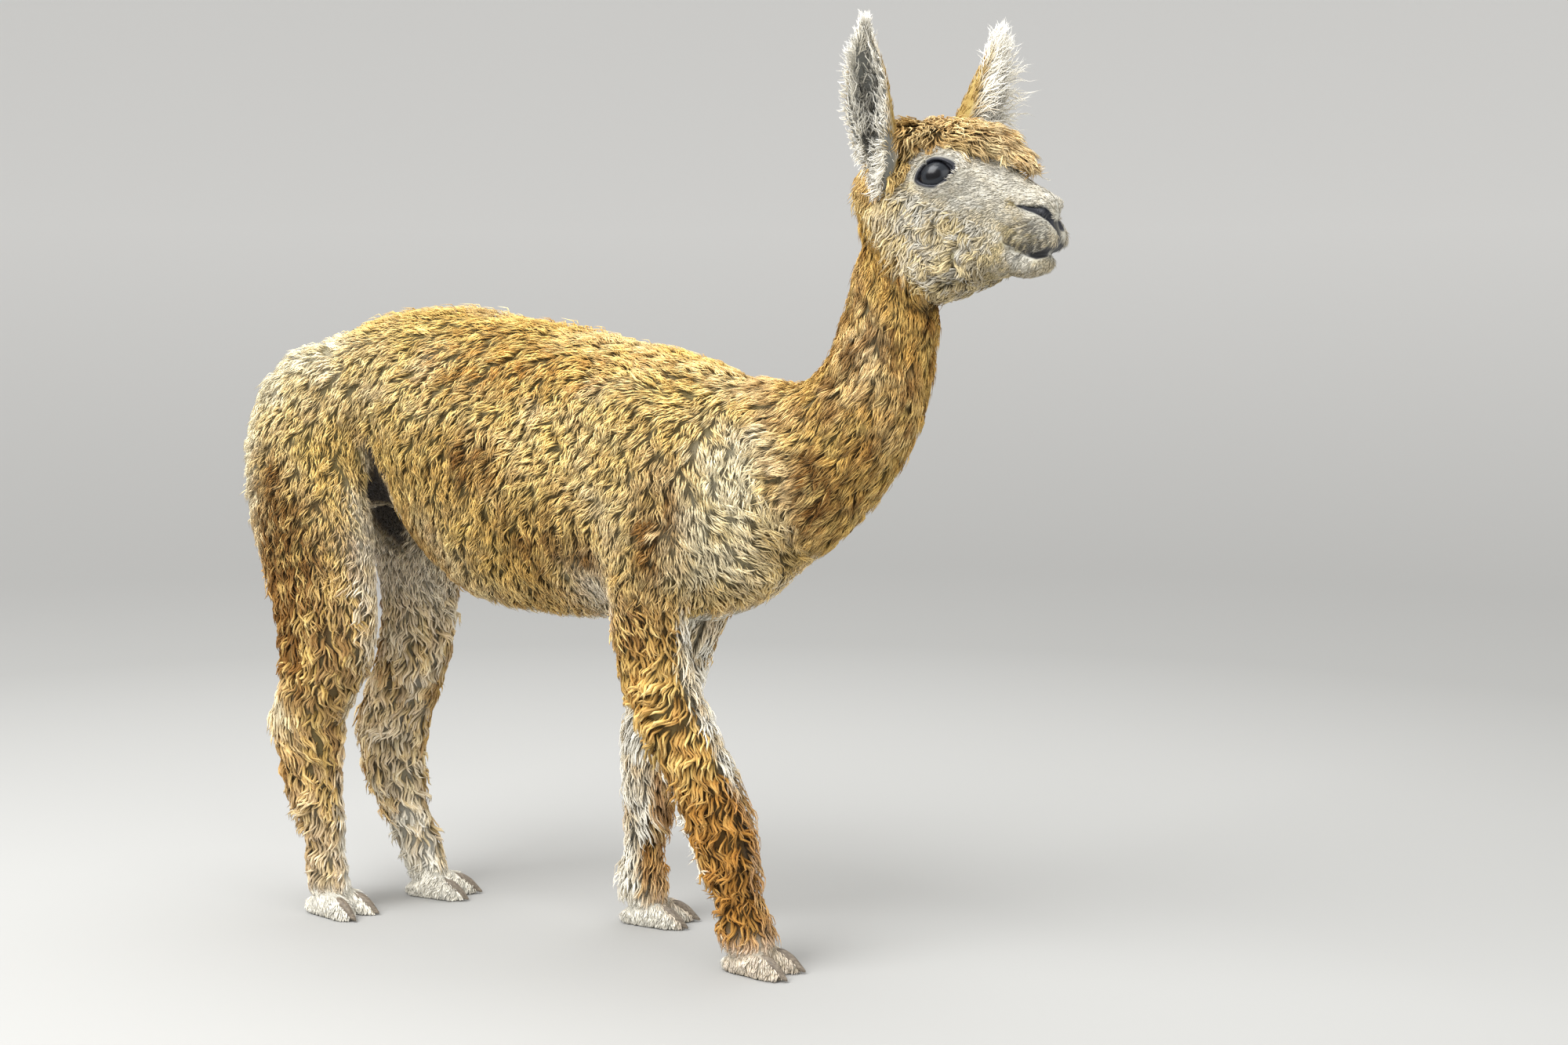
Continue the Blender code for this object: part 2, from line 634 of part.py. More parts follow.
def main():
    for obj in list(bpy.data.objects):
        bpy.data.objects.remove(obj)
    body = whole_animal()
    pieces = {}

    floor = half_space("floor", (0, 0, 0), (0, 0, 1), 0.0)
    combine(body, floor, "INTERSECT")
    weld(body)

    for foot in FEET:
        for side, toe in ((1, "left"), (-1, "right")):
            name = f"nail_{foot}_{toe}"
            nail = path_loft(name, NAIL, steps=1, sides=8, matrix=toe_place(foot, side))
            combine(nail, floor, "INTERSECT")
            weld(nail)
            hollow = swollen(nail, "hollow", GAP)
            combine(body, hollow, "DIFFERENCE")
            bpy.data.objects.remove(hollow)
            pieces[name] = (nail, "nail")
    keep_largest_shell(body)

    for side, name in ((1, "eye_left"), (-1, "eye_right")):
        eye = ball(name, eye_place(side), (EYE_RADIUS,) * 3, segments=16, rings=10)
        socket = ball("socket", eye_place(side), (EYE_RADIUS + GAP,) * 3, segments=16, rings=10)
        combine(body, socket, "DIFFERENCE")
        bpy.data.objects.remove(socket)
        pieces[name] = (eye, "eye")
    weld(body)

    for name in LEGS:
        pieces[name] = (cut_away(body, name, lambda gap, n=name: leg_cutter(n, gap)), "fleece")
    pieces["head"] = (slice_away(body, "head", *NECK_HEAD_CUT), "face")
    pieces["neck"] = (slice_away(body, "neck", *TRUNK_NECK_CUT), "fleece")

    tail = path_loft("tail", TAIL, steps=2, sides=14)
    swell = swollen(body, "swell", GAP)
    combine(tail, swell, "DIFFERENCE")
    bpy.data.objects.remove(swell)
    keep_largest_shell(tail)
    weld(tail)
    pieces["tail"] = (tail, "fleece")

    swell = swollen(pieces["head"][0], "swell", GAP)
    for name in EARS:
        piece = ear(name)
        combine(piece, swell, "DIFFERENCE")
        keep_largest_shell(piece)
        weld(piece)
        pieces[name] = (piece, "face")
    bpy.data.objects.remove(swell)

    body.name = "trunk"
    pieces["trunk"] = (body, "fleece")
    bpy.data.objects.remove(floor)
    for obj, colour in pieces.values():
        finish(obj, colour)
    stand_on_centre([obj for obj, _ in pieces.values()])


main()
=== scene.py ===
"""Looks of a life-size alpaca, newly shorn: one skin, its coat of solid tufts and locks, eyes and toenails.

The animal is worked out in a frame of its own, with X forward, Y left, Z up and the floor at zero. The eyes
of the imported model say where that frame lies, so every piece falls into place on the solids.
"""

import math

import bpy
import numpy as np
import openvdb
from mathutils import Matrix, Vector


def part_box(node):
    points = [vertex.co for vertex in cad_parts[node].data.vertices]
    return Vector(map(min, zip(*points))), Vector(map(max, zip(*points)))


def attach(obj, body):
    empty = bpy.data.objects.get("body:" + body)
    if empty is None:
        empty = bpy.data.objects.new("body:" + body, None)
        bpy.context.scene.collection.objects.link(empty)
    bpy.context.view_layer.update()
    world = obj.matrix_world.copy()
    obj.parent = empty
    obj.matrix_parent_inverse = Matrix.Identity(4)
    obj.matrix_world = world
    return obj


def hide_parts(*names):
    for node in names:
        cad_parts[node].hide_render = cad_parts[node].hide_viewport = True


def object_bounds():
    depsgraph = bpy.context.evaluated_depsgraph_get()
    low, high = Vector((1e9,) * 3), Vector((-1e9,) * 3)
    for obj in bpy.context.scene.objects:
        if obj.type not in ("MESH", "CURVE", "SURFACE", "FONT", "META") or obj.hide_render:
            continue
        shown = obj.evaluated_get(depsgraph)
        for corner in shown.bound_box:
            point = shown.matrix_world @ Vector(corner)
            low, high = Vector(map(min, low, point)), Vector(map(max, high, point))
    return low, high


bl_info = {
    "name": "Alpaca looks",
    "version": (1, 0, 0),
    "blender": (4, 5, 0),
    "location": "3D View > Sidebar > Alpaca",
    "description": "Dresses the packed alpaca in skin and coat",
    "category": "Object",
}

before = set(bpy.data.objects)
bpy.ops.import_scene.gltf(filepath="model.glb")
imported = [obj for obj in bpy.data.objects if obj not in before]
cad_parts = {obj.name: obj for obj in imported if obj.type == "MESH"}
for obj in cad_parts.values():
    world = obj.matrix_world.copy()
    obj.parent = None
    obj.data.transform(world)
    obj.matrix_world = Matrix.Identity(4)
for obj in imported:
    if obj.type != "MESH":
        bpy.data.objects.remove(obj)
CAD_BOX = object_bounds()

# ---------------------------------------------------------------- the animal's forms
HEAD_PIVOT = np.array((0.500, 0.0, 1.000))  # origin of the head's own frame
HEAD_TURN = math.radians(-12.5)
EYE_RADIUS = 0.0235
EYE_CENTRE = np.array((0.086, 0.0395, 0.070))  # left eye, in the head's frame

# Trunk: x, top, bottom, half width, share by which the belly is wider than the back
TRUNK = [
    (-0.545, 0.735, 0.660, 0.030, 0),
    (-0.528, 0.785, 0.610, 0.072, 0),
    (-0.490, 0.832, 0.585, 0.102, -0.05),
    (-0.430, 0.870, 0.585, 0.118, -0.20),
    (-0.340, 0.903, 0.600, 0.118, -0.34),
    (-0.285, 0.911, 0.568, 0.126, -0.24),
    (-0.230, 0.915, 0.520, 0.142, -0.04),
    (-0.140, 0.908, 0.468, 0.154, 0.08),
    (0, 0.886, 0.452, 0.158, 0.12),
    (0.110, 0.868, 0.456, 0.150, 0.10),
    (0.200, 0.848, 0.470, 0.132, 0.05),
    (0.275, 0.808, 0.500, 0.106, 0),
    (0.335, 0.740, 0.550, 0.072, 0),
    (0.365, 0.700, 0.600, 0.035, 0),
]
# Neck: x, y, z, half width, half depth, along its curved axis
NECK = [
    (0.180, 0, 0.655, 0.115, 0.165),
    (0.295, 0, 0.674, 0.106, 0.144),
    (0.368, 0, 0.698, 0.094, 0.116),
    (0.427, 0, 0.744, 0.081, 0.098),
    (0.464, 0, 0.805, 0.073, 0.085),
    (0.484, 0, 0.878, 0.068, 0.075),
    (0.497, 0, 0.955, 0.064, 0.068),
    (0.511, 0, 1.020, 0.058, 0.057),
    (0.522, 0, 1.065, 0.045, 0.044),
]
# Legs: x, y, z, half width, half depth, from inside the trunk down to the fetlock
LEGS = {
    "foreleg_right": [
        (0.190, -0.088, 0.700, 0.034, 0.070),
        (0.172, -0.098, 0.600, 0.046, 0.080),
        (0.163, -0.098, 0.520, 0.050, 0.066),
        (0.166, -0.092, 0.450, 0.049, 0.059),
        (0.176, -0.089, 0.390, 0.049, 0.059),
        (0.207, -0.087, 0.325, 0.050, 0.058),
        (0.243, -0.085, 0.258, 0.050, 0.055),
        (0.267, -0.083, 0.200, 0.049, 0.052),
        (0.280, -0.082, 0.148, 0.045, 0.047),
        (0.296, -0.081, 0.095, 0.037, 0.036),
        (0.308, -0.080, 0.045, 0.035, 0.036),
        (0.316, -0.080, 0.022, 0.026, 0.026),
    ],
    "foreleg_left": [
        (0.185, 0.088, 0.700, 0.034, 0.070),
        (0.168, 0.098, 0.600, 0.046, 0.080),
        (0.150, 0.098, 0.520, 0.050, 0.066),
        (0.130, 0.091, 0.450, 0.049, 0.060),
        (0.107, 0.087, 0.390, 0.049, 0.058),
        (0.091, 0.084, 0.337, 0.049, 0.055),
        (0.079, 0.081, 0.282, 0.048, 0.053),
        (0.072, 0.079, 0.232, 0.045, 0.046),
        (0.070, 0.078, 0.177, 0.041, 0.041),
        (0.063, 0.077, 0.123, 0.035, 0.034),
        (0.060, 0.076, 0.062, 0.034, 0.034),
        (0.068, 0.076, 0.022, 0.026, 0.026),
    ],
    "hindleg_right": [
        (-0.415, -0.072, 0.800, 0.050, 0.080),
        (-0.422, -0.086, 0.720, 0.062, 0.096),
        (-0.416, -0.092, 0.655, 0.064, 0.106),
        (-0.404, -0.094, 0.590, 0.062, 0.109),
        (-0.391, -0.094, 0.520, 0.058, 0.102),
        (-0.383, -0.093, 0.440, 0.056, 0.091),
        (-0.391, -0.091, 0.372, 0.054, 0.079),
        (-0.416, -0.089, 0.312, 0.050, 0.069),
        (-0.421, -0.087, 0.252, 0.047, 0.061),
        (-0.417, -0.086, 0.194, 0.043, 0.052),
        (-0.403, -0.085, 0.135, 0.038, 0.039),
        (-0.396, -0.085, 0.075, 0.033, 0.032),
        (-0.388, -0.085, 0.024, 0.026, 0.026),
    ],
    "hindleg_left": [
        (-0.415, 0.072, 0.800, 0.050, 0.080),
        (-0.412, 0.086, 0.720, 0.062, 0.096),
        (-0.398, 0.090, 0.655, 0.064, 0.104),
        (-0.376, 0.091, 0.590, 0.062, 0.094),
        (-0.350, 0.090, 0.520, 0.057, 0.078),
        (-0.345, 0.088, 0.440, 0.054, 0.068),
        (-0.356, 0.086, 0.372, 0.053, 0.068),
        (-0.377, 0.083, 0.308, 0.051, 0.069),
        (-0.391, 0.080, 0.248, 0.048, 0.067),
        (-0.386, 0.077, 0.190, 0.044, 0.058),
        (-0.365, 0.075, 0.132, 0.039, 0.046),
        (-0.337, 0.072, 0.076, 0.034, 0.035),
        (-0.318, 0.071, 0.024, 0.026, 0.027),
    ],
}
TAIL = [
    (-0.495, 0, 0.812, 0.022, 0.020),
    (-0.532, 0, 0.788, 0.027, 0.023),
    (-0.558, 0, 0.740, 0.034, 0.026),
    (-0.565, 0, 0.685, 0.040, 0.029),
    (-0.560, 0, 0.628, 0.039, 0.028),
    (-0.550, 0, 0.575, 0.028, 0.020),
    (-0.544, 0, 0.548, 0.011, 0.009),
]
# Head, in its own frame: x forward, top, bottom, half width
SKULL = [
    (-0.052, 0.080, 0.015, 0.030),
    (-0.032, 0.104, -0.020, 0.048),
    (0.010, 0.119, -0.045, 0.057),
    (0.050, 0.123, -0.050, 0.059),
    (0.090, 0.120, -0.045, 0.054),
    (0.130, 0.106, -0.034, 0.043),
    (0.170, 0.085, -0.024, 0.034),
    (0.205, 0.063, -0.022, 0.031),
    (0.224, 0.050, -0.014, 0.027),
    (0.236, 0.036, -0.002, 0.019),
    (0.242, 0.022, 0.006, 0.007),
]
JAW = [
    (-0.012, -0.005, -0.068, 0.036),
    (0.030, 0.010, -0.085, 0.050),
    (0.080, 0.006, -0.081, 0.048),
    (0.120, -0.002, -0.069, 0.040),
    (0.160, -0.014, -0.062, 0.032),
    (0.192, -0.022, -0.057, 0.025),
    (0.212, -0.026, -0.050, 0.019),
    (0.226, -0.029, -0.041, 0.010),
]
FORELOCK = [
    (0.080, 0, 0.122, 0.050, 0.026),
    (0.130, 0, 0.115, 0.042, 0.027),
    (0.172, 0, 0.094, 0.031, 0.023),
    (0.203, 0, 0.076, 0.018, 0.014),
    (0.227, 0, 0.062, 0.006, 0.006),
]
# Rounded masses: centre, radii, pitch in degrees, coat depth, blend; y above 0 makes a pair
HEAD_MASSES = [
    ((0.060, 0, 0.116), (0.086, 0.062, 0.038), 9, 0.016, 0.012),
    ((0.050, 0.028, -0.010), (0.066, 0.030, 0.068), 0, 0.004, 0.020),
    ((0.115, 0.018, -0.018), (0.060, 0.022, 0.036), 4, 0.004, 0.020),
    ((0.088, 0.036, 0.076), (0.040, 0.022, 0.032), 12, 0.003, 0.020),
    ((0.205, 0.013, -0.002), (0.032, 0.019, 0.027), 8, 0.002, 0.010),
    ((0.217, 0, 0.030), (0.024, 0.023, 0.018), 18, 0.002, 0.010),
    ((0.222, 0.011, -0.010), (0.023, 0.015, 0.023), 0, 0.001, 0.008),
    ((0.204, 0, -0.044), (0.029, 0.021, 0.015), -12, 0.001, 0.008),
]
BODY_MASSES = [
    ((0.165, 0.092, 0.665), (0.090, 0.050, 0.150), -14, 0.014, 0.050),
    ((-0.418, 0.076, 0.705), (0.105, 0.066, 0.155), 8, 0.015, 0.030),
    ((0.235, 0, 0.556), (0.105, 0.085, 0.076), -20, 0.013, 0.050),
]
# Hollows at the flank and behind the elbow, on the left: points and radii of tapering tubes
HOLLOWS = [
    ([(-0.287, 0.150, 0.722), (-0.272, 0.140, 0.640), (-0.248, 0.125, 0.560), (-0.215, 0.110, 0.480)],
     (0.004, 0.022, 0.034, 0.052)),
    ([(0.084, 0.165, 0.590), (0.090, 0.150, 0.545), (0.094, 0.135, 0.490)], (0.004, 0.020, 0.030)),
]
# Hocks, one on each side and no pairs
HOCKS = [
    ((-0.452, -0.087, 0.296), (0.036, 0.030, 0.040), 0, 0.014, 0.030),
    ((-0.422, 0.081, 0.262), (0.036, 0.030, 0.040), 0, 0.014, 0.030),
]
# Ears, in the head's frame: base, tip, the way the cup opens, how far its middle bows forward
EARS = {
    "right": ((0.008, -0.050, 0.095), (0.014, -0.104, 0.260), (0.15, -0.97, -0.05), -0.012),
    "left": ((0.034, 0.058, 0.098), (0.081, 0.106, 0.264), (0.90, 0.20, -0.20), 0.022),
}
EAR_WIDTH = 0.0310
EAR_START = -0.20  # where an ear's lower notch lies on its line, whose base is 0 and tip 1
EAR_TWIST = {"right": 0.42, "left": 0.0}  # how far the base is turned about the line, against the tip
EAR_NOTCH = {"right": 0.020, "left": 0.006}  # how far the notch lies out from the line
# Hair at an ear's edges: how much it leans out of the cup and how much less at the tip, the share that lies
# across the cup, its length and the size of its clumps
EAR_FRINGE = {"right": (0.15, 1.0, 0.65, 0.018, 0.011), "left": (0.92, 0.4, 0.30, 0.045, 0.025)}
# Feet: centre of the sole on the floor and the way the foot points, in degrees from straight ahead
FEET = {
    "foreleg_right": ((0.326, -0.080), -6),
    "foreleg_left": ((0.080, 0.076), 6),
    "hindleg_right": ((-0.378, -0.085), -8),
    "hindleg_left": ((-0.302, 0.071), 8),
}
TOE_SPREAD = 0.0165
TOE_SPLAY = 7
TOE = [
    (-0.040, 0, 0.010, 0.009, 0.009),
    (-0.024, 0, 0.013, 0.0145, 0.017),
    (0, 0, 0.016, 0.0160, 0.021),
    (0.024, 0, 0.011, 0.0150, 0.016),
    (0.040, 0, 0.006, 0.0105, 0.011),
    (0.047, 0, 0.003, 0.0050, 0.006),
]
NAIL = [
    (0.018, 0, 0.0265, 0.0060, 0.0050),
    (0.030, 0, 0.0210, 0.0072, 0.0090),
    (0.044, 0, 0.0135, 0.0062, 0.0090),
    (0.057, 0, 0.0060, 0.0035, 0.0040),
    (0.062, 0, 0.0035, 0.0012, 0.0015),
]
# Line of the mouth and of a nostril, in the head's frame, on the left side
MOUTH = [
    (0.2440, 0, -0.0180),
    (0.2387, 0.0117, -0.0237),
    (0.2276, 0.0140, -0.0309),
    (0.2184, 0.0165, -0.0326),
    (0.2052, 0.0170, -0.0293),
    (0.1956, 0.0185, -0.0246),
    (0.1848, 0.0200, -0.0199),
    (0.1750, 0.0220, -0.0155),
]
NOSTRIL = [
    (0.1961, 0.0265, 0.0308),
    (0.2120, 0.0250, 0.0260),
    (0.2286, 0.0190, 0.0215),
    (0.2355, 0.0105, 0.0125),
    (0.2400, 0.0085, 0.0010),
]


def turn_z(angle):
    c, s = math.cos(angle), math.sin(angle)
    return np.array(((c, -s, 0), (s, c, 0), (0, 0, 1)))


HEAD_AXES = turn_z(HEAD_TURN)


def from_head(points):
    return np.asarray(points) @ HEAD_AXES.T + HEAD_PIVOT


def to_head(points):
    return (points - HEAD_PIVOT) @ HEAD_AXES


def left_side(q):
    """The same points with those on the right side mirrored to the left."""
    return np.stack([q[:, 0], np.abs(q[:, 1]), q[:, 2]], 1)


def frame_shift():
    """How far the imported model's frame lies from the animal's own, read off the two eyes."""
    boxes = [np.array(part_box(name)) for name in ("eye_left", "eye_right")]
    packed = np.mean([b.mean(0) for b in boxes], 0)
    mirrored = EYE_CENTRE * (1, -1, 1)
    own = from_head([EYE_CENTRE, mirrored]).mean(0)
    return packed - own


SHIFT = frame_shift()


# ---------------------------------------------------------------- numbers and curves
def smooth_rows(rows, steps=8):
    """Catmull-Rom curve through the rows, with the given number of steps between two rows."""
    p = np.array(rows, float)
    ends = np.vstack([2 * p[0] - p[1], p, 2 * p[-1] - p[-2]])
    t = np.linspace(0.0, 1.0, steps, endpoint=False)[:, None]
    out = []
    for i in range(len(p) - 1):
        a, b, c, d = ends[i : i + 4]
        out.append(0.5 * (2 * b + (c - a) * t + (2 * a - 5 * b + 4 * c - d) * t**2
                          + (3 * b - a - 3 * c + d) * t**3))
    out.append(p[-1:])
    return np.vstack(out)


def ramp(value, low, high):
    """0 below low, 1 above high and a smooth S between them."""
    t = clipped((value - low) / (high - low))
    return t * t * (3 - 2 * t)


def fall(value, low, high):
    """1 below low, 0 above high and a smooth S between them."""
    return 1 - ramp(value, low, high)


def clipped(value):
    return np.clip(value, 0, 1)


def mix(a, b, share):
    return a + (b - a) * share


def unit(v):
    return v / np.maximum(np.linalg.norm(v, axis=-1, keepdims=True), 1e-9)


def circle(count):
    """Angles evenly round a circle."""
    return np.linspace(0, 2 * math.pi, count, endpoint=False)


def grid_points(axes):
    """Every combination of a value from each axis, in rows."""
    return np.stack(np.meshgrid(*axes, indexing="ij"), -1).reshape(-1, 3)


def waves(points, size, seed):
    """Smooth noise between about -1 and 1: the sum of seven sines that run in random directions."""
    rng, count = np.random.default_rng(seed), 7
    total = np.zeros(len(points))
    for _ in range(count):
        k = rng.normal(size=3)
        k *= 2 * math.pi / size * rng.uniform(0.6, 1.5) / np.linalg.norm(k)
        total += np.sin(points @ k + rng.uniform(0, 2 * math.pi))
    return total / math.sqrt(count)


# ---------------------------------------------------------------- distances from the forms
def soft_min(a, b, k):
    """The smaller of two distances, with the corner between them filled to a fillet of size k."""
    h = clipped(0.5 + 0.5 * (b - a) / k)
    return b + (a - b) * h - k * h * (1 - h)


def soft_max(a, b, k):
    return -soft_min(-a, -b, k)


def ellipse_distance(a, b, ra, rb):
    """Close to the distance from an ellipse with half axes ra and rb."""
    a = a + 1e-6
    k0 = np.sqrt((a / ra) ** 2 + (b / rb) ** 2)
    k1 = np.sqrt((a / ra**2) ** 2 + (b / rb**2) ** 2)
    return k0 * (k0 - 1) / k1


def upright_form(rows, depth):
    """Form with upright elliptic sections along X, drawn in by the coat's depth."""
    d = smooth_rows(rows)
    if d.shape[1] < 5:
        d = np.column_stack([d, 0 * d[:, 0]])
    middle, half = (d[0, 0] + d[-1, 0]) / 2, (d[-1, 0] - d[0, 0]) / 2

    def distance(p):
        x, y, z = p.T
        s = middle + (x - middle) * half / (half - depth)
        top, bottom, width, pear = (np.interp(s, d[:, 0], d[:, k]) for k in (1, 2, 3, 4))
        centre, height = (top + bottom) / 2, (top - bottom) / 2
        up = np.clip((z - centre) / height, -1, 1)
        f = ellipse_distance(y, z - centre, width * (1 - pear * up), height) + depth
        beyond = np.abs(x - middle) - (half - depth)
        return np.where(beyond > 0, np.hypot(np.maximum(f, 0), beyond), f)

    low = (d[0, 0], -d[:, 3].max() * 1.4, d[:, 2].min())
    return distance, low, (d[-1, 0], d[:, 3].max() * 1.4, d[:, 1].max())


def limb_form(rows, depth_at):
    """Form with level elliptic sections along Z, drawn in by a depth that changes with the height."""
    d = smooth_rows(rows)[::-1]

    def distance(p):
        x, y, z = p.T
        cx, cy, width, length = (np.interp(z, d[:, 2], d[:, k]) for k in (0, 1, 3, 4))
        f = ellipse_distance(x - cx, y - cy, length, width) + depth_at(z)
        beyond = np.maximum(z - d[-1, 2], d[0, 2] - z)
        return np.where(beyond > 0, np.hypot(np.maximum(f, 0), beyond), f)

    reach = d[:, 3:5].max()
    low = (d[:, 0].min() - reach, d[:, 1].min() - reach, d[0, 2])
    return distance, low, (d[:, 0].max() + reach, d[:, 1].max() + reach, d[-1, 2])


def path_form(rows, depth, floor=0.002):
    """Form swept along a path: round cones from point to point, squeezed or widened across."""
    d = smooth_rows(rows, 3)
    d[:, 3:] = np.maximum(d[:, 3:] - depth, floor)

    def distance(p):
        best = np.full(len(p), 9.0)
        for a, b in zip(d[:-1], d[1:]):
            step = b[:3] - a[:3]
            t = clipped((p - a[:3]) @ step / (step @ step))
            width, height = mix(a[3], b[3], t), mix(a[4], b[4], t)
            off = p - a[:3] - t[:, None] * step
            r = np.sqrt(off[:, 0] ** 2 + (off[:, 1] * height / width) ** 2 + off[:, 2] ** 2)
            best = np.minimum(best, (r - height) * np.minimum(1, width / height))
        return best

    reach = d[:, 3:5].max()
    return distance, d[:, :3].min(0) - reach, d[:, :3].max(0) + reach


def mass_form(centre, radii, pitch, depth, side):
    """Ellipsoid pitched nose down by that many degrees, drawn in by the depth."""
    c, s = math.cos(math.radians(pitch)), math.sin(math.radians(pitch))
    axes = np.array(((c, 0, -s), (0, 1, 0), (s, 0, c)))
    middle = np.array((centre[0], centre[1] * side, centre[2]))
    r = np.array(radii) - depth

    def distance(p):
        q = (p - middle) @ axes.T + 1e-6
        k0 = np.linalg.norm(q / r, axis=1)
        k1 = np.linalg.norm(q / r**2, axis=1)
        return k0 * (k0 - 1) / k1

    reach = max(radii)
    return distance, middle - reach, middle + reach


def hollow_form(points, radii):
    """Tapering tubes on both sides of the animal, as the distance from them."""
    def distance(p):
        return polyline_distance(left_side(p), points, radii)

    reach = max(radii)
    low, high = np.min(points, 0) - reach, np.max(points, 0) + reach
    return distance, (low[0], -high[1], low[2]), tuple(high)


def in_frame(form, axes, origin):
    """A form that is worked out in a frame with those axes and that origin."""
    distance, low, high = form
    placed = grid_points(zip(low, high)) @ axes.T + origin
    return (lambda p: distance((p - origin) @ axes)), placed.min(0), placed.max(0)


def leg_depth(z):
    """Depth of the coat on a leg: deep wool to below the knee and short hair on the foot."""
    return mix(0.0015, 0.0125, ramp(z, 0.020, 0.13))


def toe_frame(foot, side):
    (x, y), heading = FEET[foot]
    axes = turn_z(math.radians(heading))
    origin = np.array((x, y, 0)) + axes @ (0, side * TOE_SPREAD, 0)
    return axes @ turn_z(math.radians(side * TOE_SPLAY)), origin


def masses(rows, paired=True):
    """Forms of the rounded masses, each with its mirror image where it lies off the middle plane."""
    forms = []
    for centre, radii, pitch, depth, blend in rows:
        for side in (1, -1) if paired and centre[1] > 0 else (1,):
            forms.append((*mass_form(centre, radii, pitch, depth, side), blend))
    return forms


def all_forms():
    """(distance, low corner, high corner, blend) of every form, in the order in which they are joined."""
    forms = [(*upright_form(TRUNK, 0.017), 0.01), *masses(BODY_MASSES), *masses(HOCKS, paired=False)]
    forms.append((*path_form(NECK, 0.015, floor=0.01), 0.04))
    for name, rows in LEGS.items():
        forms.append((*limb_form(rows, leg_depth), 0.030 if "fore" in name else 0.020))
        for side in (1, -1):
            forms.append((*in_frame(path_form(TOE, 0.0), *toe_frame(name, side)), 0.008))
    forms.append((*path_form(TAIL, 0.015, floor=0.006), 0.012))
    head = [(*upright_form(SKULL, 0.004), 0.020), (*upright_form(JAW, 0.004), 0.014), *masses(HEAD_MASSES)]
    head.append((*path_form(FORELOCK, 0.013, floor=0.003), 0.010))
    for distance, low, high, blend in head:
        forms.append((*in_frame((distance, low, high), HEAD_AXES, HEAD_PIVOT), blend))
    return forms


def polyline_distance(p, points, radii):
    """Distance from a tube along straight runs, whose radius changes from point to point."""
    best = np.full(len(p), 9.0)
    points = np.array(points, float)
    for a, b, ra, rb in zip(points[:-1], points[1:], radii[:-1], radii[1:]):
        step = b - a
        t = clipped((p - a) @ step / (step @ step))
        best = np.minimum(best, np.linalg.norm(p - a - t[:, None] * step, axis=1) - mix(ra, rb, t))
    return best


EYE_OUT = unit(np.array((0.26, 1.0, 0.06)))
EYE_ALONG = unit(np.array((1.0, 0.0, 0.27)) - EYE_OUT * (np.array((1.0, 0.0, 0.27)) @ EYE_OUT))
EYE_UP = np.cross(EYE_ALONG, EYE_OUT)
EYE_STRETCH = 1.14
EYE_OPENING = (0.0252, 0.0172, 0.0152)  # half length, height above and height below the middle
LID_SHIFT = (0.0010, 0.0022)  # how far the opening's middle lies forward of and above the ball's


def eye_opening(q):
    """For points mirrored to the left side: distance outside the almond between the lids, and the
    distance from the eye's centre, measured so that the ball, which is longer than high, is round."""
    off = q - EYE_CENTRE
    along, up, out = off @ EYE_ALONG, off @ EYE_UP, off @ EYE_OUT
    off = off - (along * (1 - 1 / EYE_STRETCH))[:, None] * EYE_ALONG
    along, up = along - LID_SHIFT[0], up - LID_SHIFT[1]
    height = np.where(up > 0, EYE_OPENING[1], EYE_OPENING[2])
    shape = (np.abs(along / EYE_OPENING[0]) ** 1.55 + np.abs(up / height) ** 1.55) ** (1 / 1.55)
    return (shape - 1) * 0.012, np.linalg.norm(off, axis=1), up, out


MOUTH_DEPTHS = (0.0016, 0.0024, 0.0028, 0.0028, 0.0020, 0.0014, 0.0010, 0.0005)


def mouth_distance(q, radii):
    """Distance from the line of the mouth, with half weight for how deep in the lip a point lies."""
    flatter = np.array((1.0, 0.45, 1.0))
    return polyline_distance(q * flatter, np.array(MOUTH) * flatter, radii)


def carve_face(p, f):
    """Lids, nostrils, the split of the upper lip and the mouth, cut into or laid on the head."""
    q = to_head(p)
    near = np.all((q > (0.03, -0.08, -0.06)) & (q < (0.27, 0.08, 0.12)), axis=1)
    q, g = left_side(q[near]), f[near]
    x, y, z = q.T
    edge, radius, up, out = eye_opening(q)
    g = soft_min(g, radius - EYE_RADIUS - 0.0030, 0.009)
    fold = np.exp(-(((edge - 0.0062) / 0.0016) ** 2)) * ramp(out, 0.002, 0.008)
    g = g + fold * np.where(up > 0, 0.0018, 0.0010)
    hole = np.maximum(np.maximum(edge, EYE_RADIUS - 0.0015 - radius), 0.001 - out)
    g = soft_max(g, -hole, 0.0012)
    flap = polyline_distance(q + (0.004, 0, -0.0095), NOSTRIL[:3], (0.004, 0.0070, 0.0075))
    g = soft_min(g, flap, 0.010)
    g = soft_max(g, -polyline_distance(q, NOSTRIL, (0.0008, 0.0022, 0.0048, 0.0036, 0.0012)), 0.003)
    split = np.exp(-((y / 0.0030) ** 2)) * ramp(x, 0.205, 0.225)
    g = g + 0.0040 * split * ramp(z, -0.030, -0.024) * fall(z, 0.006, 0.016)
    g = soft_max(g, -mouth_distance(q, MOUTH_DEPTHS), 0.0035)
    f[near] = g
    return f


FORMS = all_forms()
CUTS = [hollow_form(points, radii) for points, radii in HOLLOWS]
CUT_BLEND = 0.016


def distance(p):
    """Distance from the bare animal, below zero inside it."""
    f = np.full(len(p), 0.2)
    for form, low, high, blend in FORMS:
        near = np.all((p > np.array(low) - 0.07) & (p < np.array(high) + 0.07), axis=1)
        f[near] = soft_min(f[near], form(p[near]), blend)
    for form, low, high in CUTS:
        near = np.all((p > np.array(low) - 0.05) & (p < np.array(high) + 0.05), axis=1)
        f[near] = soft_max(f[near], -form(p[near]), CUT_BLEND)
    return np.maximum(carve_face(p, f), -p[:, 2])


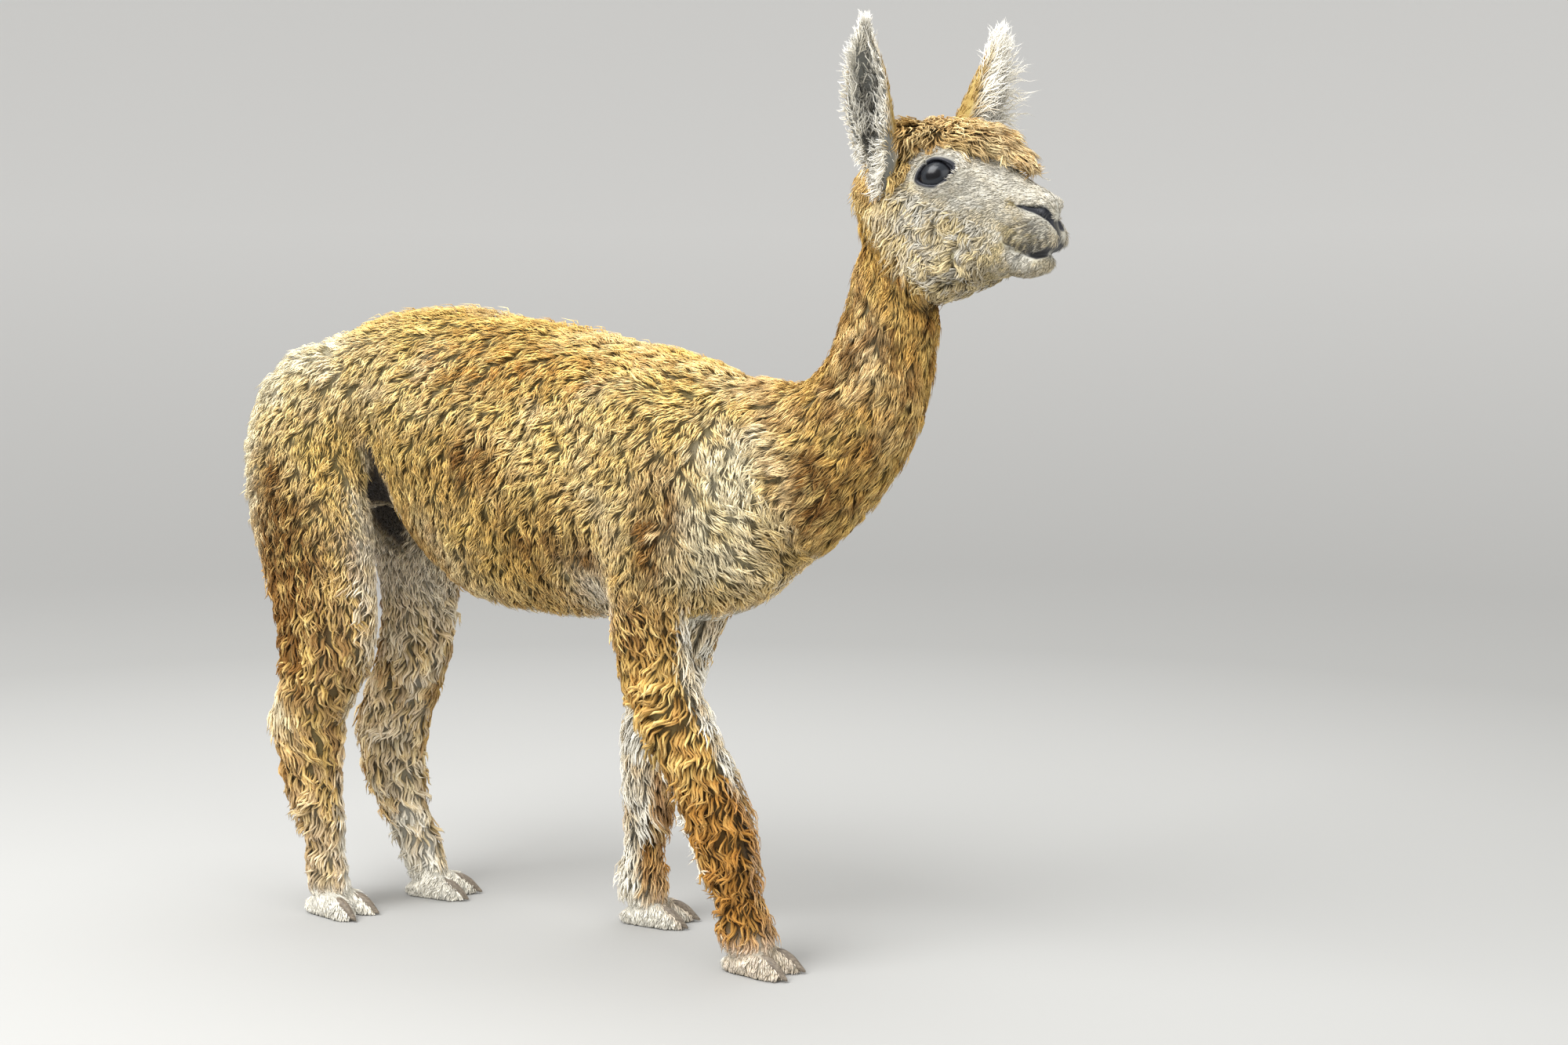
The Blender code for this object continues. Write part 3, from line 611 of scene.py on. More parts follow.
def slope(p):
    """Gradient of the distance, by differences."""
    step = 0.0004
    axes = np.eye(3) * step
    return np.stack([distance(p + a) - distance(p - a) for a in axes], 1) / (2 * step)


# ---------------------------------------------------------------- meshes
def linked(name, data):
    """A new object in the scene."""
    obj = bpy.data.objects.new(name, data)
    bpy.context.scene.collection.objects.link(obj)
    return obj


def new_object(name, points, faces, material):
    """Mesh object at the origin, from points in the animal's frame."""
    mesh = bpy.data.meshes.new(name)
    points = np.asarray(points, np.float32) + SHIFT.astype(np.float32)
    faces = np.asarray(faces)
    sides = faces.shape[1]
    mesh.vertices.add(len(points))
    mesh.vertices.foreach_set("co", points.ravel())
    mesh.loops.add(faces.size)
    mesh.loops.foreach_set("vertex_index", faces.ravel().astype(np.int32))
    mesh.polygons.add(len(faces))
    mesh.polygons.foreach_set("loop_start", np.arange(0, faces.size, sides, dtype=np.int32))
    mesh.update(calc_edges=True)
    mesh.validate()
    mesh.shade_smooth()
    mesh.materials.append(material)
    return linked(name, mesh)


def set_attribute(obj, name, values):
    """Colour attribute with four numbers for each vertex."""
    layer = obj.data.attributes.new(name, "FLOAT_COLOR", "POINT")
    layer.data.foreach_set("color", np.asarray(values, np.float32).ravel())


def enclosed_volume(points, faces):
    a, b, c = (points[faces[:, k]] for k in (0, 1, 2))
    return np.einsum("ij,ij->i", a, np.cross(b, c)).sum()


def polygonise(low, high, step):
    """Quads where the distance is zero, from its values on a grid. A form is worked out near itself only."""
    axes = [np.arange(a, b, step) for a, b in zip(low, high)]
    field = np.full([len(a) for a in axes], 0.2)

    def block_points(block):
        return grid_points(a[part] for a, part in zip(axes, block))

    def near(start, end, reach):
        return tuple(slice(*np.searchsorted(a, (s - reach, e + reach))) for a, s, e in zip(axes, start, end))

    for form, start, end, blend in FORMS:
        block = near(start, end, blend + 2 * step)
        old = field[block]
        if old.size:
            field[block] = soft_min(old, form(block_points(block)).reshape(old.shape), blend)
    for form, start, end in CUTS:
        block = near(start, end, 0.05)
        old = field[block]
        field[block] = soft_max(old, -form(block_points(block)).reshape(old.shape), CUT_BLEND)
    grid = openvdb.FloatGrid(0.2)
    grid.copyFromArray(np.maximum(field, -axes[2]).astype(np.float32))
    points, quads = grid.convertToQuads(0.0)
    points = points * step + np.array(low)
    if enclosed_volume(points, quads[:, :3]) < 0:
        quads = quads[:, ::-1]
    return points, quads


def refined(points, faces, wanted):
    """Splits in four each triangle with three wanted corners, and in two each that shares a split side."""
    keep = wanted[faces]
    corners = keep.sum(1)
    whole, halved = faces[corners == 3], faces[corners == 2]
    turn = np.argmin(keep[corners == 2], axis=1)
    halved = np.take_along_axis(halved, (turn[:, None] + np.array((1, 2, 0))) % 3, axis=1)
    sides = np.vstack([whole[:, (0, 1)], whole[:, (1, 2)], whole[:, (2, 0)], halved[:, :2]])
    sides, place = np.unique(np.sort(sides, axis=1), axis=0, return_inverse=True)
    middle = place.reshape(-1) + len(points)
    count = len(whole)
    ab, bc, ca, cut = np.split(middle, (count, 2 * count, 3 * count))
    a, b, c = whole.T
    d, e, f = halved.T
    pieces = [(a, ab, ca), (ab, b, bc), (ca, bc, c), (ab, bc, ca), (d, cut, f), (cut, e, f)]
    made = np.vstack([np.stack(piece, 1) for piece in pieces])
    return np.vstack([points, points[sides].mean(1)]), np.vstack([faces[corners < 2], made])


def settle(points, rounds):
    """Moves points along the slope towards a distance of zero, in steps of 4 mm at most."""
    for _ in range(rounds):
        f, g = distance(points), slope(points)
        move = -f[:, None] * g / np.maximum((g * g).sum(1), 0.25)[:, None]
        size = np.linalg.norm(move, axis=1)[:, None]
        points = points + move * np.minimum(1, 0.004 / np.maximum(size, 1e-9))
    return points


def relaxed(points, faces, wanted, rounds):
    """Evens the spacing of the wanted points: each moves half way to the mean of its neighbours."""
    edges = np.vstack([faces[:, (0, 1)], faces[:, (1, 2)], faces[:, (2, 0)]])
    edges = np.vstack([edges, edges[:, ::-1]])
    count = np.bincount(edges[:, 0], minlength=len(points))[:, None]
    for _ in range(rounds):
        total = np.stack([np.bincount(edges[:, 0], points[edges[:, 1], k], len(points)) for k in range(3)], 1)
        points = np.where(wanted[:, None], mix(points, total / np.maximum(count, 1), 0.5), points)
    return points


# ---------------------------------------------------------------- regions of the body
def head_part(p):
    """1 on the head and 0 on the neck and body, with a soft edge."""
    x, _, z = p.T
    return ramp((x - 0.512) * 0.78 + (z - 0.985) * 0.625, -0.008, 0.012)


def neck_part(p):
    """1 on the neck and 0 on trunk and head, with soft edges."""
    x, _, z = p.T
    return ramp((x - 0.352) * 0.917 + (z - 0.685) * 0.399, -0.05, 0.04) * (1 - head_part(p))


def leg_centre(name, z):
    d = smooth_rows(LEGS[name])[::-1]
    return np.stack([np.interp(z, d[:, 2], d[:, k]) for k in (0, 1)], 1)


def leg_name(p):
    """Index into LEGS of the nearest leg."""
    off = [np.linalg.norm(p[:, :2] - leg_centre(name, p[:, 2]), axis=1) for name in LEGS]
    return np.argmin(off, axis=0)


def fore_quarters(p):
    return p[:, 0] > -0.15


def leg_part(p):
    """0 on the trunk, rising to 1 down the legs."""
    fore = fall(p[:, 2], 0.44, 0.60)
    hind = fall(p[:, 2], 0.50, 0.72)
    return np.where(fore_quarters(p), fore, hind)


def tail_part(p):
    x, y, z = p.T
    return ((x < -0.515) & (np.abs(y) < 0.034) & (z < 0.82) & (z > 0.5)).astype(float)


def short_part(p, n):
    """1 where the hair is short: armpits, belly, groin, inner thighs and the fold at the flank."""
    x, y, z = p.T
    inward = -n[:, 1] * np.sign(y)
    thigh = ramp(inward, 0.05, 0.5) * ramp(z, 0.40, 0.50) * (x < -0.2)
    armpit = patch(p, 0.085, 0.525, 0.036, 0.050)
    belly = ramp(-n[:, 2], 0.75, 0.95) * ramp(0.07 - np.abs(y), 0, 0.03) * (z > 0.4)
    groin = ramp(-n[:, 2], 0.2, 0.6) * ramp(-x, 0.24, 0.30) * (z > 0.45)
    flank = patch(p, -0.300, 0.60, 0.024, 0.08)
    return clipped(thigh + armpit + belly + groin + flank + gap_shadow(p)) * (1 - head_part(p))


def foot_part(p):
    return fall(p[:, 2], 0.035, 0.075)


# Painted shadow in the gap between belly and thigh, and across the groin to the other hind leg
GAP_SHADOW = [(-0.297, 0.089, 0.708), (-0.293, 0.077, 0.672), (-0.322, 0.040, 0.632), (-0.368, 0.040, 0.598),
       (-0.345, 0.042, 0.562)]
GAP_SHADOW_RADII = (0.003, 0.009, 0.017, 0.017, 0.003)


def gap_shadow(p):
    return fall(polyline_distance(left_side(p), GAP_SHADOW, GAP_SHADOW_RADII), 0.0, 0.018)


# x and z of the edge of the wool cap, in the head's frame
KNOT_EDGE = [(-0.02, 0.050), (0.020, 0.052), (0.034, 0.072), (0.047, 0.100), (0.070, 0.106), (0.095, 0.108),
             (0.122, 0.096), (0.145, 0.094), (0.170, 0.087), (0.228, 0.060)]


def knot_line(f):
    return np.interp(f, *np.transpose(KNOT_EDGE))


# z and x of the front of the woolly cheek
CHEEK_EDGE = [(-0.090, 0.138), (-0.063, 0.143), (-0.038, 0.150), (-0.012, 0.160), (0.009, 0.148),
              (0.029, 0.112), (0.040, 0.070), (0.057, 0.043), (0.085, 0.030)]


def cheek_part(q):
    """1 on the woolly cheek, jaw and throat and behind them, for points in the head's frame."""
    return fall(q[:, 0] - np.interp(q[:, 2], *np.transpose(CHEEK_EDGE)), -0.009, 0.009)


def topknot_part(q):
    """1 on the wool cap over the forehead, for points in the head's frame."""
    return ramp(q[:, 2] - knot_line(q[:, 0]), -0.003, 0.004) * ramp(0.228 - q[:, 0], 0, 0.01)


def patch(p, x, z, wide, high, lean=0.0):
    """1 at a place on the side of the animal, falling off like a bell across and upwards."""
    across = p[:, 0] - x - lean * (p[:, 2] - z)
    return np.exp(-((across / wide) ** 2 + ((p[:, 2] - z) / high) ** 2))


# Patches on the sides: x, z, width, height, lean, strength
CREAM_PATCHES = [
    (0.292, 0.650, 0.060, 0.105, 0.25, 1.00),
    (0.240, 0.590, 0.045, 0.060, 0, 0.65),
    (-0.510, 0.760, 0.085, 0.130, 0, 1.10),
    (-0.400, 0.825, 0.130, 0.065, 0, 0.85),
    (-0.020, 0.710, 0.080, 0.070, 0, 0.35),
    (-0.200, 0.780, 0.130, 0.060, 0, 0.35),
    (-0.165, 0.580, 0.045, 0.065, -0.60, 0.65),
    (-0.150, 0.510, 0.120, 0.030, 0, 0.40),
    (0.120, 0.700, 0.055, 0.110, 0, 0.50),
    (0.250, 0.740, 0.060, 0.050, 0, 0.35),
    (0.352, 0.725, 0.050, 0.045, 0, 0.45),
    (0.366, 0.650, 0.050, 0.055, 0, 0.55),
    (0.290, 0.550, 0.050, 0.035, 0, 0.50),
    (0.481, 0.865, 0.030, 0.070, 0, 0.40),
    (-0.512, 0.620, 0.042, 0.110, 0, 1.20),
    (-0.458, 0.325, 0.036, 0.055, 0, 1.20),
]
DARK_PATCHES = [
    (-0.085, 0.695, 0.055, 0.038, 0, 0.95),
    (0.015, 0.585, 0.085, 0.055, 0, 0.60),
    (0.202, 0.620, 0.028, 0.085, 0.10, 1.00),
    (0.503, 0.705, 0.045, 0.085, 0.50, 1.10),
    (0.460, 0.630, 0.055, 0.040, 0.50, 0.50),
    (-0.438, 0.665, 0.030, 0.050, 0, 0.85),
    (-0.425, 0.560, 0.042, 0.075, -0.20, 1.10),
    (-0.385, 0.615, 0.030, 0.060, 0, 0.35),
    (-0.430, 0.430, 0.050, 0.100, 0, 0.60),
    (0.150, 0.490, 0.035, 0.040, 0, 0.70),
]


def inner_strip(p, n):
    """1 on the inner side of the legs and on the inner edge of their front."""
    inward = -n[:, 1] * np.sign(p[:, 1])
    strip = ramp(inward + 0.37 * n[:, 0], 0.00, 0.18) * ramp(n[:, 0], -0.45, 0.05) * ramp(p[:, 2], 0.03, 0.07)
    return np.maximum(strip, ramp(inward, 0.30, 0.65))


def markings(p, n):
    """Four shares for each point: cream, rust, dark and pale. The rest is golden. The dark share also carries
    painted shadow and shade: in the flank gap, behind the elbow and, in part, down the legs.
    """
    x, y, z = p.T
    side = np.abs(y)
    cloud = waves(p, 0.15, 3)
    fleck = waves(p, 0.045, 4)
    speck = clipped(0.5 + 0.75 * waves(p, 0.024, 5))
    inward = -n[:, 1] * np.sign(y)
    front = n[:, 0]
    fore = fore_quarters(p)
    legs, head, feet, neck = leg_part(p), head_part(p), foot_part(p), neck_part(p)
    on_side = ramp(side, 0.02, 0.06)
    light_spots = sum(amount * patch(p, *place) for *place, amount in CREAM_PATCHES)
    cream = light_spots * (0.75 + 0.25 * fleck)
    cream += 0.30 * clipped(cloud + 0.4 * fleck)
    shaded = sum(amount * patch(p, *place) for *place, amount in DARK_PATCHES) * on_side
    dark = shaded * (0.12 + 1.15 * speck)
    dark += 0.35 * clipped(-cloud + 0.3 * fleck - 0.2) * speck * (1 - 0.7 * clipped(cream))
    dark += 0.80 * neck * clipped(waves(p * (1.0, 1.0, 0.20), 0.020, 6))
    # Darker down the legs, much more on the hind legs: partly browner wool, partly painted shade low under
    # the body.
    dark += legs * np.where(fore, 0.16, 0.42) * (0.3 + speck)
    rim = ramp(z, 0.775, 0.815) * (1 - 0.6 * ramp(n[:, 2], 0.55, 0.95))
    band = rim * ramp(x, -0.24, -0.12) * fall(x, 0.30, 0.38)
    rust = 0.80 * band * speck + 0.16 * (1 - legs) * clipped(fleck)
    rust += neck * (0.20 + 0.24 * speck) * (0.45 + 0.55 * ramp(z, 0.70, 0.80))
    rust += 0.45 * shaded
    knee = fall(z, 0.24, 0.31)
    rust_fore = 0.42 + 0.58 * knee + 0.40 * (speck - 0.5)
    rust_hind = 0.16 + 0.34 * speck + 0.40 * ramp(-front, 0.0, 0.6) * ramp(z, 0.14, 0.26)
    rust = mix(rust, np.where(fore, rust_fore, rust_hind), legs)
    light_fore = inner_strip(p, n) * (1 - 0.85 * knee * ramp(front, 0.20, 0.60))
    light_fore = np.maximum(light_fore, ramp(-front, 0.60, 0.9) * fall(z, 0.26, 0.34))
    light_hind = 0.65 * ramp(inward + 0.4 * front, 0.20, 0.75) + 0.35 * fall(z, 0.10, 0.30)
    light = legs * np.where(fore, light_fore, light_hind)
    thigh = (~fore) * ramp(front + 0.25 * inward, 0.35, 0.80) * ramp(z, 0.36, 0.46) * ramp(0.70 - z, 0, 0.08)
    light = clipped(np.maximum(light, 0.9 * thigh) * (0.90 + 0.35 * fleck))
    leg_spots = legs * clipped(light_spots)
    rust = rust * (1 - light) * (1 - 0.7 * leg_spots)
    dark = dark * (1 - 0.85 * leg_spots)
    short = short_part(p, n)
    # Painted shade in the crease behind the elbow and painted shadow in the flank gap, laid on as dark.
    elbow_crease_shade = patch(p, 0.085, 0.575, 0.030, 0.022) * on_side
    deep = np.maximum(gap_shadow(p), elbow_crease_shade)
    dark = np.maximum(dark * (1 - 0.6 * light), 0.95 * deep)
    armpit = patch(p, 0.085, 0.525, 0.050, 0.070) * on_side
    pale = clipped(np.maximum(light, short * (1 - deep) * (1 - 0.2 * armpit)) + 0.75 * feet)
    pale *= 1 - 0.35 * (~fore) * ramp(z, 0.1, 0.2)
    cream = mix(cream, 0.08 + 0.46 * (~fore) * speck * ramp(front, -0.4, 0.4) + 0.9 * light_spots, legs)
    face = face_tone(p)
    cream = mix(cream, face[:, 0], head)
    knot = topknot_part(to_head(p))
    rust = mix(rust, (0.20 + 0.32 * speck) * knot, head)
    dark = mix(dark * (1 - 0.7 * feet), speck * (0.30 * face[:, 2] + 0.12 * knot), head)
    pale = mix(pale, face[:, 1], head)
    return clipped(np.stack([cream, rust, dark, pale], 1))


def collar_part(q):
    """1 behind the line from the ear down to the throat, where the neck's wool begins."""
    line = 0.040 + 0.30 * np.clip(0.027 - q[:, 2], 0, 0.12)
    return fall(q[:, 0] - line, -0.010, 0.010)


# Tan spots on the face: x, z, length, height, strength, in the head's frame
FACE_SPOTS = [
    (0.112, 0.010, 0.028, 0.009, 0.55),
    (0.145, -0.030, 0.018, 0.013, 0.75),
    (0.100, -0.038, 0.022, 0.011, 0.80),
    (0.057, -0.028, 0.022, 0.022, 0.50),
    (0.160, -0.047, 0.020, 0.010, 0.90),
    (0.193, 0.0335, 0.007, 0.006, 0.95),
    (0.167, -0.025, 0.013, 0.010, 0.75),
    (0.192, 0.002, 0.015, 0.015, 0.75),
    (0.210, -0.006, 0.022, 0.012, 0.60),
    (0.045, 0.060, 0.014, 0.012, 0.45),
]


def face_tone(p):
    """Cream, pale and fleck shares on the head: white face, tan cheeks, a golden collar and topknot."""
    q = to_head(p)
    f, u = q[:, 0], q[:, 2]
    knot, collar = topknot_part(q), collar_part(q)
    mottle = clipped(0.5 + 0.65 * waves(p, 0.024, 8) + 0.35 * waves(p, 0.010, 9))
    spots = sum(amount * patch(q, *place) for *place, amount in FACE_SPOTS)
    tan = 0.36 * fall(u - 0.35 * (0.2 - f), -0.01, 0.03) + 0.38 * cheek_part(q)
    cheek = (0.12 + tan) * mottle + spots * (0.55 + 0.6 * mottle)
    jaw = ramp(-u, 0.045, 0.075) * fall(f, 0.14, 0.19) * (0.35 + 0.5 * mottle)
    behind = collar * (0.55 + 0.45 * ramp(0.02 - f, 0, 0.04))
    golden = clipped(np.maximum.reduce([knot, behind, cheek + jaw]))
    fleck = cheek_part(q) * (1 - knot) * ramp(-u, -0.01, 0.05)
    cream = 0.60 - 0.22 * knot * fall(f, 0.08, 0.15) - 0.18 * collar
    return np.stack([cream, 1 - golden, fleck], 1)


def face_shade(p):
    """Painted shade: 0 on the bridge, the tip of the nose and the lower lip, a little on the sides of the
    face and more in the hollow behind the nose.
    """
    q = to_head(p)
    f, u = q[:, 0], q[:, 2]
    light = ramp(u - 0.070 + 0.55 * (f - 0.13).clip(0, 1), -0.012, 0.014)
    light = np.maximum(light, ramp(f, 0.19, 0.21) * ramp(-u, 0.030, 0.042))
    hollow = patch(q, 0.150, 0.030, 0.030, 0.016)
    return (0.10 + 0.08 * hollow) * (1 - light) * ramp(f, 0.06, 0.12)


def from_eye(along, up):
    """Point in the head's frame on the lids of the left eye."""
    return EYE_CENTRE + EYE_ALONG * along + EYE_UP * up + EYE_OUT * 0.017


def lip_marks(p):
    """Dark hair on the upper lip, in strokes that fan out from the tip of the nose."""
    q = left_side(to_head(p))
    x, y, z = q.T
    off = q - (0.236, 0.012, 0.014)
    rays = np.stack([np.arctan2(off[:, 2], -off[:, 0]) * 0.030, off[:, 0] * 0.15, 0 * off[:, 0]], 1)
    fan = clipped(0.45 + 1.5 * waves(rays, 0.0060, 12))
    upper = ramp(z, -0.040, -0.028) * fall(z, 0.006, 0.020) * ramp(x, 0.172, 0.195)
    near = fall(mouth_distance(q, (0.0,) * len(MOUTH)), 0.003, 0.022)
    front = ramp(y, 0.003, 0.009) + near
    return clipped(np.maximum(0.75 * near, 0.85 * fan * front) * upper * (0.12 + 0.88 * fan))


def smoke_marks(p):
    """1 where the bare skin is dark: lid edges, nostrils, the split lip and the mouth; at the eye's front
    corner and under the brow, dark skin and lashes with painted shade.
    """
    q = left_side(to_head(p))
    x, y, z = q.T
    edge, radius, _, out = eye_opening(q)
    lids = fall(edge, 0.0020, 0.0046) * (radius < 0.045) * ramp(out, -0.006, 0.001)
    # The eye's front corner and a line under the brow: dark skin and lashes, and painted shade under the
    # brow.
    corner = q - (EYE_CENTRE + EYE_ALONG * 0.0240 + EYE_UP * 0.0090 + EYE_OUT * 0.010)
    lids = np.maximum(lids, fall(np.linalg.norm(corner, axis=1), 0.004, 0.0115) * 0.85)
    brow = polyline_distance(q, [from_eye(0.006, 0.0205), from_eye(0.024, 0.016)], (0.001, 0.003))
    lids = np.maximum(lids, 0.40 * fall(brow, 0.0, 0.005))
    nose = fall(polyline_distance(q, NOSTRIL, (0.0014, 0.0030, 0.0054, 0.0048, 0.0028)), 0.0, 0.0030)
    split = fall(y, 0.003, 0.008) * ramp(x, 0.215, 0.230) * ramp(z, -0.032, -0.024)
    split *= fall(z, 0.008, 0.014)
    mouth = fall(mouth_distance(q, np.array(MOUTH_DEPTHS) * 1.3), 0.0, 0.0028)
    marks = np.maximum.reduce([lids, nose, 0.85 * split, 0.95 * mouth])
    return np.where((x > 0.03) & (z > -0.07), marks, 0)


# ---------------------------------------------------------------- shader arithmetic
class Value:
    """A socket of numbers: an expression on it adds the Math nodes."""

    def __init__(self, tree, socket):
        self.tree, self.socket = tree, socket

    def math(self, operation, *values, clamp=False):
        node = self.tree.nodes.new("ShaderNodeMath")
        node.operation, node.use_clamp = operation, clamp
        for slot, value in zip(node.inputs, values):
            if isinstance(value, Value):
                self.tree.links.new(value.socket, slot)
            else:
                slot.default_value = value
        return Value(self.tree, node.outputs[0])

    def __add__(self, other):
        return self.math("ADD", self, other)

    def __sub__(self, other):
        return self.math("SUBTRACT", self, other)

    def __rsub__(self, other):
        return self.math("SUBTRACT", other, self)

    def __mul__(self, other):
        return self.math("MULTIPLY", self, other)

    __radd__, __rmul__ = __add__, __mul__  # the order of a sum or a product changes nothing

    def between(self, low, high):
        """0 below low and 1 above high, straight between them."""
        return self.math("MULTIPLY_ADD", self, 1 / (high - low), -low / (high - low), clamp=True)


class Finish:
    """A material on the principled shader, and the nodes that colour it."""

    def __init__(self, name, roughness, **constants):
        self.material = bpy.data.materials.new(name)
        self.material.use_nodes = True
        self.tree = self.material.node_tree
        self.shader = self.tree.nodes["Principled BSDF"]
        self.shader.inputs["Roughness"].default_value = roughness
        for key, value in constants.items():
            self.shader.inputs[key.replace("_", " ")].default_value = value

    def node(self, kind, settings=None, inputs=None):
        """A node of that type: its settings are made first, then its sockets get values or links."""
        node = self.tree.nodes.new(kind)
        for key, value in (settings or {}).items():
            setattr(node, key, value)
        for key, value in (inputs or {}).items():
            value = value.socket if isinstance(value, Value) else value
            if isinstance(value, bpy.types.NodeSocket):
                self.tree.links.new(value, node.inputs[key])
            else:
                node.inputs[key].default_value = value
        return node

    def value(self, socket):
        return Value(self.tree, socket)

    def marks(self, name):
        """The four numbers of a colour attribute."""
        layer = self.node("ShaderNodeAttribute", {"attribute_name": name})
        parts = self.node("ShaderNodeSeparateColor", None, {"Color": layer.outputs["Color"]})
        return [self.value(s) for s in (*parts.outputs[:3], layer.outputs["Alpha"])]

    def noise(self, scale, detail, rough, stretch=None, turn=(0, 0, 0)):
        place = self.node("ShaderNodeTexCoord").outputs["Object"]
        if stretch:
            turned = {"Vector": place, "Rotation": turn, "Scale": stretch}
            place = self.node("ShaderNodeMapping", None, turned).outputs[0]
        inputs = {"Vector": place, "Scale": scale, "Detail": detail, "Roughness": rough}
        return self.value(self.node("ShaderNodeTexNoise", None, inputs).outputs["Fac"])

    def blend(self, a, b, share):
        """Colour a where the share is 0 and b where it is 1."""
        inputs = {0: share, 6: a, 7: b}
        return self.node("ShaderNodeMix", {"data_type": "RGBA"}, inputs).outputs[2]

    def times(self, a, b):
        return self.node("ShaderNodeVectorMath", {"operation": "MULTIPLY"}, {0: a, 1: b}).outputs[0]

    def brighter(self, colour, factor):
        scaled = self.node("ShaderNodeVectorMath", {"operation": "SCALE"}, {0: colour, "Scale": factor})
        return scaled.outputs[0]

    def colour(self, socket):
        self.tree.links.new(socket, self.shader.inputs["Base Color"])

    def roughness(self, value):
        self.tree.links.new(value.socket, self.shader.inputs["Roughness"])

    def bump(self, height, distance, strength=1.0):
        inputs = {"Height": height, "Distance": distance, "Strength": strength}
        made = self.node("ShaderNodeBump", None, inputs)
        self.tree.links.new(made.outputs[0], self.shader.inputs["Normal"])


def own_colours():
    return bpy.context.scene.alpaca_colours


def wool_colour(finish, white, level):
    """Colour that the markings give: golden, then cream, rust, dark and that white laid over it; and how
    light it is. The level dims all but the white: painted shade for hair too flat to shade itself."""
    shades = own_colours()
    cream, rust, dark, pale = finish.marks("coat")
    cloud = finish.noise(38.0, 4.0, 0.6)
    fine = finish.noise(170.0, 2.0, 0.5)
    golden = finish.blend((*shades.golden, 1), (*shades.honey, 1), cloud.between(0.35, 0.68))
    colour = finish.blend(golden, (*shades.cream, 1), (cream + (fine - 0.5) * 0.3 * cream).between(0.0, 1.0))
    colour = finish.blend(colour, (*shades.rust, 1), (rust + (cloud - 0.5) * rust).between(0.0, 1.0))
    colour = finish.blend(colour, (*shades.dark, 1), (dark + (fine - 0.5) * 0.5 * dark).between(0.0, 1.0))
    colour = finish.brighter(colour, level)
    return finish.blend(colour, (*white, 1), pale), pale.math("MAXIMUM", pale, cream)


def fleece_finish(name, white, root_shade, roughness, level):
    """Wool: darkened towards the root with painted shade among the tufts, warm at the root, light and cooler
    at the tip, each lock a little unlike the next.
    """
    finish = Finish(name, roughness, Specular_IOR_Level=0.16, Sheen_Weight=0.03, Sheen_Roughness=0.45)
    colour, light = wool_colour(finish, white, level)
    tip, vary, lock, dark_hair_and_shade = finish.marks("strand")
    shade = root_shade + (0.9 - root_shade) * light * 0.5
    shade = shade + (1.20 - shade) * tip.between(0.08, 0.66)
    shade = shade * (0.54 + 0.50 * vary + 0.44 * lock)
    warm = tip.between(0.20, 0.85) * (0.25 + 0.75 * vary)
    tint = finish.blend((1.03, 0.86, 0.60, 1), (0.98, 1.00, 1.22, 1), warm)
    colour = finish.times(colour, finish.blend(tint, (1, 1, 1, 1), light * 0.8))
    # Near black for painted shade and shadow and for dark hair at lids, nose, lips and in the ears.
    colour = finish.blend(colour, (0.050, 0.052, 0.050, 1), dark_hair_and_shade)
    finish.colour(finish.brighter(colour, shade))
    return finish.material


def skin_finish():
    """Skin and the hair too short to stand up: painted shade under deep wool, in the gap at the flank and on
    the sides of the face; smoky at lids, nose and lips.
    """
    finish, shades = Finish("Skin", 0.62, Specular_IOR_Level=0.25), own_colours()
    colour, light = wool_colour(finish, shades.face, 0.62)
    dark_skin_and_shade, cover, damp, ear = finish.marks("finish")
    speckle = finish.noise(420.0, 2.0, 0.6)
    strands = finish.noise(260.0, 3.0, 0.6, (1.0, 4.0, 4.0), (0, 0, -HEAD_TURN))
    # Painted shade: the skin darkens under deep wool, less under white wool.
    shade = (1.0 - cover * (0.72 - 0.30 * light)) * (0.78 + 0.40 * strands)
    colour = finish.brighter(colour, shade)
    colour = finish.blend(colour, (0.15, 0.155, 0.145, 1), ear.between(0.55, 1.0) * 0.90)
    edge = (dark_skin_and_shade + (speckle - 0.5) * 0.5 * dark_skin_and_shade * (1.0 - dark_skin_and_shade)).between(0.0, 1.0)
    finish.colour(finish.blend(colour, (*shades.dark_skin_and_shade, 1), edge))
    finish.roughness(0.85 - damp * 0.45)
    finish.bump(strands * (1.0 - dark_skin_and_shade * 0.8) + speckle * 0.35, 0.0012, 0.8)
    return finish.material


def eye_finish():
    """Wet dark eye: slate iris round a level pupil that is all but black."""
    finish = Finish("Eye", 0.26, Coat_Weight=0.10, Coat_Roughness=0.08, Specular_IOR_Level=0.28)
    pupil, iris, rim, _ = finish.marks("finish")
    rays = finish.noise(900.0, 2.0, 0.5)
    colour = finish.blend((0.014, 0.012, 0.013, 1), (*own_colours().eye, 1), iris * (0.75 + 0.5 * rays))
    colour = finish.blend(colour, (0.005, 0.005, 0.007, 1), rim)
    finish.colour(finish.blend(colour, (0.003, 0.003, 0.004, 1), pupil))
    return finish.material


def nail_finish():
    """Horn: grey-brown with lengthwise streaks, lighter and rougher where it is worn, in random patches."""
    finish = Finish("Nail", 0.5, Specular_IOR_Level=0.4)
    streak = finish.noise(420.0, 3.0, 0.6, (0.25, 1.0, 1.0))
    wear = finish.noise(120.0, 3.0, 0.6)
    colour = finish.blend((*own_colours().nail, 1), (0.30, 0.25, 0.19, 1), streak.between(0.35, 0.75))
    finish.colour(finish.brighter(colour, 0.7 + 0.6 * wear))
    finish.bump(streak, 0.0005, 0.7)
    finish.roughness(0.42 + 0.25 * wear)
    return finish.material


